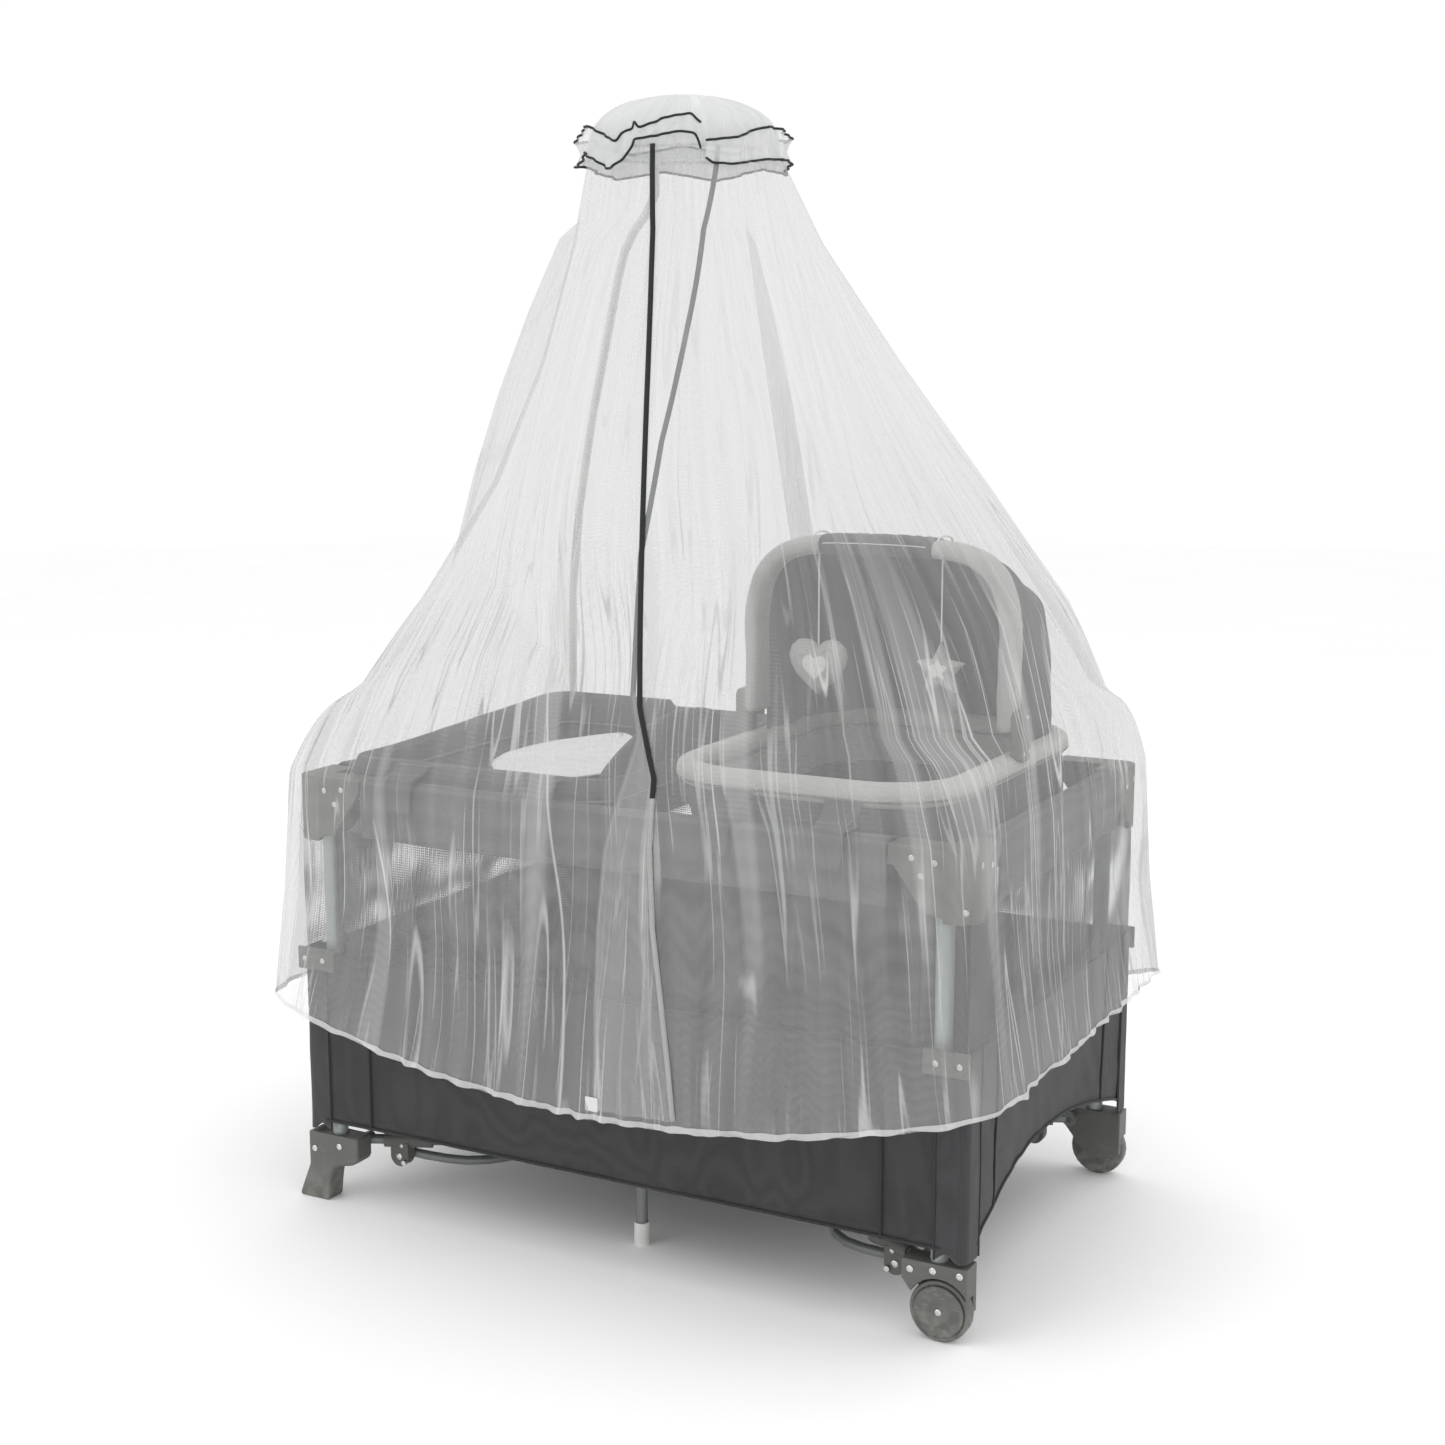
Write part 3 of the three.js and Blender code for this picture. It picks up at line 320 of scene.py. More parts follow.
@dataclass(frozen=True)
class Finish:
    """One material: which effect it uses, its colour and how it shines."""

    name: str
    effect: str
    tone: tuple[float, float, float]
    rough: float = 0.9
    metal: float = 0.0
    sheen: float = 0.0
    coat: float = 0.0
    bump: float = 0.0004
    values: tuple[tuple[str, float], ...] = ()
    open: float = 0.0
    pitch: float = 0.003

    def build(self, effects: Effects) -> bpy.types.Material:
        """Makes the material.

        Args:
            effects: the shared node groups.
        Returns:
            The material, with its graph built.
        """
        material = bpy.data.materials.new(self.name)
        material.use_nodes = True
        g = Graph(material.node_tree)
        shader = material.node_tree.nodes["Principled BSDF"]
        shader.inputs["Roughness"].default_value = self.rough
        shader.inputs["Metallic"].default_value = self.metal
        shader.inputs["Sheen Weight"].default_value = self.sheen
        shader.inputs["Sheen Roughness"].default_value = 0.4
        shader.inputs["Coat Weight"].default_value = self.coat
        material.diffuse_color = (*self.tone, 1.0)
        group = g.node("ShaderNodeGroup", node_tree=getattr(effects, self.effect))
        for key, value in self.values:
            group.inputs[key].default_value = value
        if "Tone" in group.inputs:
            group.inputs["Tone"].default_value = (*self.tone, 1.0)
            g.feed(group.outputs["Color"], shader.inputs["Base Color"])
        else:
            shader.inputs["Base Color"].default_value = (*self.tone, 1.0)
        if "Rough" in group.inputs:
            group.inputs["Rough"].default_value = self.rough
            g.feed(group.outputs["Roughness"], shader.inputs["Roughness"])
        if "Alpha" in group.outputs:
            g.feed(group.outputs["Alpha"], shader.inputs["Alpha"])
        if self.open:
            holes = g.node("ShaderNodeGroup", node_tree=effects.holes)
            holes.inputs["Open"].default_value = self.open
            holes.inputs["Pitch"].default_value = self.pitch
            g.feed(holes.outputs["Alpha"], shader.inputs["Alpha"])
        bump = g.node("ShaderNodeBump")
        bump.inputs["Distance"].default_value = self.bump
        bump.inputs["Strength"].default_value = 0.6
        g.feed(group.outputs["Height"], bump.inputs["Height"])
        g.feed(bump.outputs[0], shader.inputs["Normal"])
        return material


def cloth(name: str, tone: tuple[float, float, float], pitch: float = 0.0014, thread: float = 0.22,
          mottle: float = 0.25, sheen: float = 0.15, bump: float = 0.0005, **more: float) -> Finish:
    """Returns the finish of a woven or brushed cloth."""
    values = (("Pitch", pitch), ("Thread", thread), ("Mottle", mottle))
    return Finish(name, "weave", tone, rough=0.92, sheen=sheen, bump=bump, values=values, **more)


def hard(name: str, tone: tuple[float, float, float], rough: float, grain: float = 900.0, scuff: float = 0.25,
         dust: float = 0.25, **more: float) -> Finish:
    """Returns the finish of a moulded, painted or plated piece."""
    values = (("Grain", grain), ("Scuff", scuff), ("Dust", dust))
    return Finish(name, "moulding", tone, rough=rough, values=values, bump=0.00012, **more)


class Palette(Enum):
    """Every finish on the cot."""

    CHARCOAL = cloth("charcoal_canvas", (0.043, 0.043, 0.045), pitch=0.0013, thread=0.3)
    # The corner sleeves' canvas is slightly lighter than the charcoal canvas: a painted highlight along each corner
    # fold.
    SLEEVE = cloth("corner_canvas", (0.050, 0.050, 0.053), pitch=0.0013, thread=0.3)
    SEAM = cloth("seam_thread", (0.026, 0.026, 0.028), pitch=0.0022, thread=0.5)
    RAIL_PAD = cloth("rail_padding_cloth", (0.085, 0.088, 0.086), pitch=0.0016)
    MESH = Finish("side_mesh", "weave", (0.060, 0.062, 0.062), values=(("Pitch", 0.0031),), open=0.42, pitch=0.0042)
    MAT_GREY = cloth("mattress_cloth", (0.075, 0.076, 0.078))
    TRAY = cloth("tray_cloth", (0.085, 0.085, 0.087), pitch=0.0016)
    TRAY_PIPING = cloth("tray_piping", (0.16, 0.16, 0.16), pitch=0.002)
    LINER = cloth("napper_liner", (0.40, 0.40, 0.39), pitch=0.0014, mottle=0.35)
    RIM = cloth("brushed_rim_cloth", (0.50, 0.505, 0.485), pitch=0.0018, thread=0.12, mottle=0.3, sheen=0.4)
    SKIRT = cloth("napper_skirt", (0.115, 0.117, 0.115))
    HOOD_IN = cloth("hood_lining", (0.060, 0.061, 0.061), mottle=0.35)
    HOOD_OUT = cloth("hood_cloth", (0.20, 0.205, 0.20), mottle=0.3)
    HOOD_TOP = cloth("hood_top_band", (0.075, 0.077, 0.076))
    ARCH = cloth("arch_padding", (0.42, 0.425, 0.41), pitch=0.0018, thread=0.14, sheen=0.35)
    PLUSH = cloth("toy_plush", (0.45, 0.45, 0.44), pitch=0.0023, thread=0.25, sheen=0.6, bump=0.001)
    PLUSH_WHITE = cloth("toy_patch", (0.85, 0.85, 0.83), pitch=0.0018, thread=0.1, sheen=0.3)
    RIBBON = cloth("white_ribbon", (0.80, 0.80, 0.78), pitch=0.0009, thread=0.2, mottle=0.1)
    SATIN = cloth("white_mat", (0.86, 0.865, 0.86), pitch=0.002, thread=0.08, mottle=0.12, sheen=0.3)
    BINDING = cloth("dark_binding", (0.020, 0.021, 0.024), pitch=0.0011, thread=0.3)
    SOFT_BINDING = cloth("grey_binding", (0.13, 0.135, 0.135), pitch=0.0011, thread=0.3)
    PALE_BINDING = cloth("pale_binding", (0.42, 0.425, 0.42), pitch=0.0011, thread=0.3)
    FRILL = Finish("frill_net", "folds", (0.68, 0.69, 0.685), rough=0.95, bump=0.0006,
                   values=(("Sheer", 0.62), ("Crease", 0.2), ("Band", 0.1)))
    DOME = Finish("dome_net", "folds", (0.66, 0.67, 0.665), rough=0.95, bump=0.0006,
                  values=(("Sheer", 0.60), ("Crease", 0.25), ("Band", 0.1)))
    NET = Finish("sheer_net", "folds", (0.60, 0.61, 0.60), rough=0.95, bump=0.0008,
                 values=(("Sheer", 0.29), ("Crease", 0.55), ("Band", 0.16)))
    FLAP = Finish("net_flap", "folds", (0.62, 0.63, 0.62), rough=0.95, bump=0.0008,
                  values=(("Sheer", 0.24), ("Crease", 0.5), ("Band", 0.25)))
    HEM = Finish("net_hem", "folds", (0.72, 0.725, 0.72), rough=0.95, bump=0.0006,
                 values=(("Sheer", 0.62), ("Crease", 0.2), ("Band", 0.1)))
    PATCH = cloth("blank_patch", (0.72, 0.725, 0.72), pitch=0.0012, thread=0.15, mottle=0.1)
    CASTING = hard("olive_grey_plastic", (0.092, 0.095, 0.085), 0.52, grain=700.0)
    TYRE = hard("wheel_plastic", (0.088, 0.090, 0.083), 0.48, grain=500.0, scuff=0.5, dust=0.4)
    DARK = hard("dark_plastic", (0.045, 0.047, 0.047), 0.45)
    TUBE = hard("grey_painted_tube", (0.36, 0.40, 0.385), 0.36, grain=260.0, scuff=0.15, metal=0.1, coat=0.15)
    BOW = hard("bow_painted_tube", (0.17, 0.185, 0.18), 0.34, grain=260.0, scuff=0.2, metal=0.3, coat=0.15)
    POLE = hard("pole_paint", (0.74, 0.75, 0.74), 0.4, grain=260.0, coat=0.1)
    WHITE = hard("white_plastic", (0.80, 0.80, 0.78), 0.42, dust=0.35)
    STEEL = hard("bright_steel", (0.72, 0.72, 0.70), 0.28, grain=1400.0, scuff=0.3, metal=1.0)


class Wardrobe:
    """Hands out each finish's material, built once."""

    def __init__(self) -> None:
        """Builds the shared effects."""
        self.effects = Effects()
        self.made: dict[Palette, bpy.types.Material] = {}

    def get(self, which: Palette) -> bpy.types.Material:
        """Returns the material of a finish."""
        if which not in self.made:
            self.made[which] = which.value.build(self.effects)
        return self.made[which]


# ---- Mesh making -----------------------------------------------------------------------------


def finished(bm: bmesh.types.BMesh, name: str, smooth: float = 35.0) -> Thing:
    """Turns a bmesh into an object at the origin.

    Args:
        bm: the bmesh, which is freed.
        name: the object's name.
        smooth: edges sharper than this many degrees stay sharp.
    Returns:
        The new object, linked to the scene.
    """
    mesh = bpy.data.meshes.new(name)
    bm.to_mesh(mesh)
    bm.free()
    mesh.shade_smooth()
    mesh.set_sharp_from_angle(angle=math.radians(smooth))
    made = bpy.data.objects.new(name, mesh)
    bpy.context.scene.collection.objects.link(made)
    return made


def settle(piece: Thing) -> Thing:
    """Applies a piece's modifiers to its mesh and returns it."""
    graph = bpy.context.evaluated_depsgraph_get()
    mesh = bpy.data.meshes.new_from_object(piece.evaluated_get(graph), depsgraph=graph)
    piece.modifiers.clear()
    old = piece.data
    piece.data = mesh
    mesh.name = old.name
    return piece


def sheet_mesh(across: int, down: int, rule: Rule, size: tuple[float, float]) -> bmesh.types.BMesh:
    """Makes a grid and lays it out by a rule.

    Args:
        across: squares along the first direction.
        down: squares along the second.
        rule: takes u and v from 0 to 1 and returns the point.
        size: what u and v are worth in the UV map.
    Returns:
        A bmesh with a UV map.
    """
    bm = bmesh.new()
    uv = bm.loops.layers.uv.new("UVMap")
    bmesh.ops.create_grid(bm, x_segments=across, y_segments=down, size=0.5)
    for face in bm.faces:
        for loop in face.loops:
            at = loop.vert.co
            loop[uv].uv = ((at.x + 0.5) * size[0], (at.y + 0.5) * size[1])
    for vert in bm.verts:
        vert.co = rule(vert.co.x + 0.5, vert.co.y + 0.5)
    return bm


def closed_up(bm: bmesh.types.BMesh) -> bmesh.types.BMesh:
    """Merges a seam, turns the faces outwards and returns the bmesh."""
    bmesh.ops.remove_doubles(bm, verts=bm.verts, dist=1e-5)
    bmesh.ops.recalc_face_normals(bm, faces=bm.faces)
    return bm


def thickened(piece: Thing, depth: float, offset: float = -1.0, rounds: int = 0) -> Thing:
    """Gives a sheet a wall and returns it."""
    wall = piece.modifiers.new("wall", "SOLIDIFY")
    wall.thickness = depth
    wall.offset = offset
    wall.use_even_offset = True
    if rounds:
        soft = piece.modifiers.new("soft", "SUBSURF")
        soft.levels = soft.render_levels = rounds
    return settle(piece)


def tube(name: str, points: Sequence[Sequence[float]], radius: float, sides: int = 6, closed: bool = False,
         straight: bool = False) -> Thing:
    """Makes a round bar, wire or piping along points.

    Args:
        name: the object's name.
        points: the middle line.
        radius: half the diameter.
        sides: steps in a quarter turn, plus one.
        closed: whether the line joins up with itself.
        straight: whether the stretches between points stay straight.
    Returns:
        The new mesh object.
    """
    curve = bpy.data.curves.new(name, "CURVE")
    curve.dimensions = "3D"
    curve.bevel_depth = radius
    curve.bevel_resolution = sides
    curve.use_fill_caps = not closed
    line = curve.splines.new("POLY" if straight else "NURBS")
    line.points.add(len(points) - 1)
    for spot, point in zip(line.points, points):
        spot.co = (*point, 1.0)
    if not straight:
        line.order_u = 4
        line.use_endpoint_u = not closed
        line.resolution_u = 6
    line.use_cyclic_u = closed
    holder = bpy.data.objects.new(name, curve)
    bpy.context.scene.collection.objects.link(holder)
    graph = bpy.context.evaluated_depsgraph_get()
    mesh = bpy.data.meshes.new_from_object(holder.evaluated_get(graph), depsgraph=graph)
    bpy.data.objects.remove(holder)
    mesh.name = name
    mesh.materials.clear()
    bm = bmesh.new()
    bm.from_mesh(mesh)
    bmesh.ops.remove_doubles(bm, verts=bm.verts, dist=1e-6)
    bmesh.ops.recalc_face_normals(bm, faces=bm.faces)
    bpy.data.meshes.remove(mesh)
    return finished(bm, name, 60.0)


def block(bm: bmesh.types.BMesh, low: Sequence[float], high: Sequence[float], round_off: float = 0.0) -> list:
    """Adds a box with rounded edges to a bmesh and returns its vertices."""
    made = bmesh.ops.create_cube(bm, size=1.0)["verts"]
    middle = [(a + b) / 2 for a, b in zip(low, high)]
    bmesh.ops.scale(bm, verts=made, vec=[b - a for a, b in zip(low, high)])
    bmesh.ops.translate(bm, verts=made, vec=middle)
    if round_off:
        edges = list({e for v in made for e in v.link_edges})
        bevelled = bmesh.ops.bevel(bm, geom=edges, offset=round_off, segments=3, profile=0.5, affect="EDGES", material=-1)
        made = list({v for f in bevelled["faces"] for v in f.verts} | {v for v in made if v.is_valid})
    return made


def screw(bm: bmesh.types.BMesh, at: Sequence[float], facing: Sequence[float], radius: float = 0.0045) -> None:
    """Adds a domed screw head with a cross recess, standing on a face."""
    turn = Vector((0, 0, 1)).rotation_difference(Vector(facing)).to_matrix().to_4x4()
    place = Matrix.Translation(Vector(at)) @ turn
    disc = bmesh.ops.create_circle(bm, cap_ends=True, segments=18, radius=radius, matrix=place)["verts"]
    face = next(f for f in disc[0].link_faces if len(f.verts) == 18)
    out = Vector(facing)
    for inset, rise in ((0.0, 0.0009), (0.0009, 0.0008), (0.0012, 0.0003), (0.0007, -0.0011)):
        if inset:
            bmesh.ops.inset_individual(bm, faces=[face], thickness=inset)
            bmesh.ops.translate(bm, verts=face.verts, vec=out * rise)
        else:
            raised = bmesh.ops.extrude_discrete_faces(bm, faces=[face])["faces"]
            face = raised[0]
            bmesh.ops.translate(bm, verts=face.verts, vec=out * rise)


def softened(nodes: dict[str, Thing], node: str, name: str, bevel: float = 0.0012) -> Thing:
    """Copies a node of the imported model, merges its triangles and rounds its edges.

    Args:
        nodes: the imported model's objects.
        node: which one.
        name: the new piece's name.
        bevel: how far its edges are rounded.
    Returns:
        The new piece, which stands for the node.
    """
    bm = bmesh.new()
    bm.from_mesh(nodes[node].data)
    bmesh.ops.remove_doubles(bm, verts=bm.verts, dist=2e-6)
    bmesh.ops.dissolve_limit(bm, angle_limit=math.radians(3), verts=bm.verts, edges=bm.edges)
    piece = finished(bm, name, 40.0)
    piece.data.materials.clear()
    if bevel:
        round_off = piece.modifiers.new("round", "BEVEL")
        round_off.width = bevel
        round_off.segments = 2
        round_off.limit_method = "ANGLE"
        round_off.angle_limit = math.radians(38)
        round_off.use_clamp_overlap = True
        settle(piece)
    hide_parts(node)
    return piece


def inflated(piece: Thing, voxel: float, pressure: float, cap: float) -> Thing:
    """Remeshes a closed shape and swells it as stuffing does.

    Args:
        piece: the shape, which is changed.
        voxel: the size of its new faces.
        pressure: how hard the stuffing pushes.
        cap: how far a point may move.
    Returns:
        The same piece.
    """
    grain = piece.modifiers.new("grain", "REMESH")
    grain.mode = "VOXEL"
    grain.voxel_size = voxel
    settle(piece)
    before = [v.co.copy() for v in piece.data.vertices]
    sim = piece.modifiers.new("stuffing", "CLOTH")
    sim.settings.quality = 4
    sim.settings.mass = 0.3
    sim.settings.use_pressure = True
    sim.settings.uniform_pressure_force = pressure
    sim.settings.effector_weights.gravity = 0.0
    sim.collision_settings.use_collision = False
    scene = bpy.context.scene
    for step in range(1, 21):
        scene.frame_set(step)
    settle(piece)
    scene.frame_set(1)
    for vert, start in zip(piece.data.vertices, before):
        moved = vert.co - start
        if moved.length > cap:
            vert.co = start + moved * (cap / moved.length)
    soft = piece.modifiers.new("soft", "SUBSURF")
    soft.levels = soft.render_levels = 1
    settle(piece)
    piece.data.shade_smooth()
    return piece


def ripple(at: Vector, size: float, depth: float, seed: float = 0.0) -> float:
    """Returns a smooth bump for a point, from about -depth to depth."""
    return depth * noise.noise(Vector((at.x / size + seed, at.y / size, at.z / size + 3.1 * seed)))


def wrinkled(piece: Thing, size: float, depth: float, seed: float = 0.0, stretch: Sequence[float] = (1, 1, 1)) -> Thing:
    """Moves each point of a piece a little along its normal and returns the piece."""
    normals = [vert.normal.copy() for vert in piece.data.vertices]
    for vert, normal in zip(piece.data.vertices, normals):
        at = Vector([a * b for a, b in zip(vert.co, stretch)])
        vert.co += normal * ripple(at, size, depth, seed)
    return piece


@dataclass
class Workshop:
    """What every sub-assembly needs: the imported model, the finishes and a list of what was made."""

    nodes: dict[str, Thing]
    wardrobe: Wardrobe
    made: list[str] = field(default_factory=list)

    def dress(self, piece: Thing, finish: Palette, slot: str = "") -> Thing:
        """Gives a piece one finish."""
        piece.data.materials.clear()
        piece.data.materials.append(self.wardrobe.get(finish))
        return piece

    def add(self, piece: Thing, finish: Palette, body: Body | str, slot: str = "", replaces: Sequence[str] = ()) -> Thing:
        """Dresses a piece and lets it ride on a body.

        Args:
            piece: the finished mesh.
            finish: its finish.
            body: the body it rides on.
            slot: the record's material slot; not used.
            replaces: nodes that it stands for.
        Returns:
            The same piece.
        """
        self.dress(piece, finish, slot)
        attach(piece, body.value if isinstance(body, Body) else body)
        if replaces:
            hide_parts(*replaces)
        self.made.append(piece.name)
        LOG.info("%s rides on %s", piece.name, body)
        return piece

    def crumpling(self, piece: Thing, finish: Palette, slot: str, fold: "Folding", replaces: Sequence[str] = ()) -> Thing:
        """Dresses a soft piece, lets it ride on the left end frame and gives it a mesh of its own."""
        self.add(piece, finish, Body.LEFT, slot, replaces)
        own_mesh(piece)
        return piece


@dataclass(frozen=True)
class Folding:
    """The fold's anchor and the share of the cloth that it keeps."""

    anchor: float = -0.6095
    keep: float = 0.54


# ---- Studio ------------------------------------------------------------------------------------


@dataclass
class Studio:
    """The camera, the soft lights and the pale floor."""

    eye: tuple[float, float, float] = (1.66625, -3.12755, 1.44631)
    tilt: float = -9.71
    turn: float = 28.08
    lens: float = 51.94

    def build(self) -> None:
        """Makes the camera, the lights, the sky and the floor."""
        scene = bpy.context.scene
        data = bpy.data.cameras.new("camera")
        data.lens = self.lens
        data.sensor_width = 36.0
        data.clip_end = 60.0
        camera = bpy.data.objects.new("camera", data)
        camera.location = self.eye
        camera.rotation_euler = (math.radians(90 + self.tilt), 0.0, math.radians(self.turn))
        scene.collection.objects.link(camera)
        scene.camera = camera
        scene.view_settings.view_transform = "Standard"
        world = bpy.data.worlds.new("sky")
        world.use_nodes = True
        world.node_tree.nodes["Background"].inputs[0].default_value = (1.0, 1.0, 1.0, 1.0)
        world.node_tree.nodes["Background"].inputs[1].default_value = 1.0
        scene.world = world
        self._light("key", (-2.2, -3.6, 3.6), 3.0, 34.0)
        self._light("top", (0.6, 0.4, 4.4), 3.5, 26.0)
        self._light("edge", (3.6, 1.6, 2.6), 2.0, 14.0)
        bm = bmesh.new()
        bmesh.ops.create_circle(bm, cap_ends=True, segments=64, radius=14.0)
        floor = finished(bm, "studio_floor")
        paper = bpy.data.materials.new("pale_paper")
        paper.use_nodes = True
        g = Graph(paper.node_tree)
        shader = paper.node_tree.nodes["Principled BSDF"]
        shader.inputs["Roughness"].default_value = 0.95
        shader.inputs["Specular IOR Level"].default_value = 0.1
        g.feed(g.mix(g.clouds(g.place(), 1.5, 2.0), (0.97, 0.97, 0.97, 1), (1.0, 1.0, 1.0, 1)), shader.inputs["Base Color"])
        floor.data.materials.append(paper)

    def _light(self, name: str, at: tuple[float, float, float], size: float, power: float) -> None:
        """Adds one soft square light that faces the cot."""
        data = bpy.data.lights.new(name, "AREA")
        data.size = size
        data.energy = power
        lamp = bpy.data.objects.new(name, data)
        lamp.location = at
        lamp.rotation_euler = (Vector((0, 0, 0.7)) - Vector(at)).to_track_quat("-Z", "Y").to_euler()
        bpy.context.scene.collection.objects.link(lamp)


# ---- Toys ---------------------------------------------------------------------------------------


@dataclass
class Toys:
    """A heart and a star on strings, stuffed, each with a white patch."""

    shop: Workshop
    string_top: float = 1.141
    string_r: float = 0.0015
    heart_x: float = 0.180
    star_x: float = 0.400
    drops: tuple[float, float] = (0.156, 0.137)
    half_depth: float = 0.0145

    def cords(self) -> None:
        for name, x, drop, body in (("heart", self.heart_x, self.drops[0], Body.HEART),
                                    ("star", self.star_x, self.drops[1], Body.STAR)):
            toy = self.shop.add(self._pillow(name), Palette.PLUSH, body, "trim_cloth", (f"toy_{name}",))
            bottom = self.string_top - drop
            points = [(x, 0.0, self.string_top - drop * i / 17) for i in range(18)]
            string = tube(f"{name}_string", points, self.string_r, 3, straight=True)
            self.shop.add(string, Palette.RIBBON, body, "string", (f"toy_string_{name}",))
            patch = self.shop.add(self._patch(name, toy), Palette.PLUSH_WHITE, body, "string")
            knot = tube(f"{name}_tie", self._loop(x, self.string_top), 0.0016, 2, closed=True)
            self.shop.add(knot, Palette.RIBBON, Body.HOOD, "string")
            LOG.info("%s hangs from %.3f to %.3f with %s", toy.name, self.string_top, bottom, patch.name)

    def _loop(self, x: float, top: float) -> list[tuple[float, float, float]]:
        """Returns the tie round the arch that a string hangs from."""
        turns = [2 * math.pi * i / 14 for i in range(14)]
        return [(x + 0.004 * math.sin(2 * a), 0.030 * math.sin(a) + 0.008, top + 0.017 + 0.0185 * math.cos(a)) for a in turns]

    def _outline(self, name: str) -> list[tuple[Vector, Vector]]:
        """Returns the straight edges of a toy's outline, in X and Z."""
        bm = bmesh.new()
        bm.from_mesh(self.shop.nodes[f"toy_{name}"].data)
        bmesh.ops.remove_doubles(bm, verts=bm.verts, dist=1e-6)
        front = [v for v in bm.verts if v.co.y < 0]
        edges = []
        for edge in bm.edges:
            a, b = edge.verts
            if a in front and b in front and any(abs(f.normal.y) < 0.5 for f in edge.link_faces):
                edges.append((Vector((a.co.x, a.co.z)), Vector((b.co.x, b.co.z))))
        bm.free()
        return edges

    def _pillow(self, name: str) -> Thing:
        """Makes a stuffed toy whose faces swell between its seams."""
        bm = bmesh.new()
        bm.from_mesh(self.shop.nodes[f"toy_{name}"].data)
        bmesh.ops.remove_doubles(bm, verts=bm.verts, dist=1e-6)
        piece = finished(bm, f"{name}_toy")
        grain = piece.modifiers.new("grain", "REMESH")
        grain.mode = "VOXEL"
        grain.voxel_size = 0.0016
        settle(piece)
        edges = self._outline(name)
        reach = 0.026 if name == "heart" else 0.017
        for vert in piece.data.vertices:
            spot = Vector((vert.co.x, vert.co.z))
            near = min(self._distance(spot, a, b) for a, b in edges)
            share = min(near / reach, 1.0)
            swell = math.sqrt(max(1 - (1 - share) ** 2, 0.0))
            side = max(-1.0, min(1.0, vert.co.y / 0.012))
            vert.co.y = side * (0.0015 + self.half_depth * swell)
        piece.data.update()
        wrinkled(piece, 0.012, 0.0007, 2.0)
        smooth = piece.modifiers.new("even", "SMOOTH")
        smooth.iterations = 4
        settle(piece)
        piece.data.shade_smooth()
        return piece

    def _distance(self, spot: Vector, a: Vector, b: Vector) -> float:
        """Returns how far a point is from a straight edge."""
        along = b - a
        share = max(0.0, min(1.0, (spot - a).dot(along) / max(along.length_squared, 1e-12)))
        return (spot - (a + along * share)).length

    def _patch(self, name: str, toy: Thing) -> Thing:
        """Makes the white appliqué on a toy's front, a small copy of its outline."""
        low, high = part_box(f"toy_{name}")
        share = 0.50 if name == "star" else 0.52
        middle = Vector(((low[0] + high[0]) / 2, 0, low[2] + (high[2] - low[2]) * share))
        front = min(v.co.y for v in toy.data.vertices)
        bm = bmesh.new()
        bm.from_mesh(self.shop.nodes[f"toy_{name}"].data)
        bmesh.ops.remove_doubles(bm, verts=bm.verts, dist=1e-6)
        bmesh.ops.delete(bm, geom=[f for f in bm.faces if f.normal.y > -0.9], context="FACES")
        bmesh.ops.dissolve_limit(bm, angle_limit=math.radians(2), verts=bm.verts, edges=bm.edges)
        for vert in bm.verts:
            off = vert.co - middle
            vert.co = Vector((middle.x + 0.42 * off.x, front - 0.0004, middle.z + 0.42 * off.z))
        raised = bmesh.ops.extrude_face_region(bm, geom=bm.faces[:])["geom"]
        bmesh.ops.translate(bm, verts=[g for g in raised if isinstance(g, bmesh.types.BMVert)], vec=(0, 0.0022, 0))
        bmesh.ops.recalc_face_normals(bm, faces=bm.faces)
        return finished(bm, f"{name}_patch")


# ---- Hard frame -----------------------------------------------------------------------------------


@dataclass(frozen=True)
class Corner:
    """One corner of the cot."""

    tag: str
    sx: int
    sy: int

    @property
    def frame(self) -> Body:
        """The end frame that this corner belongs to."""
        return Body.LEFT if self.sx < 0 else Body.RIGHT

    @property
    def arms(self) -> Body:
        """The lower arms that this corner's bow bracket is on."""
        return Body.ARMS_LEFT if self.sx < 0 else Body.ARMS_RIGHT


CORNERS = (Corner("fl", -1, -1), Corner("fr", 1, -1), Corner("rl", -1, 1), Corner("rr", 1, 1))


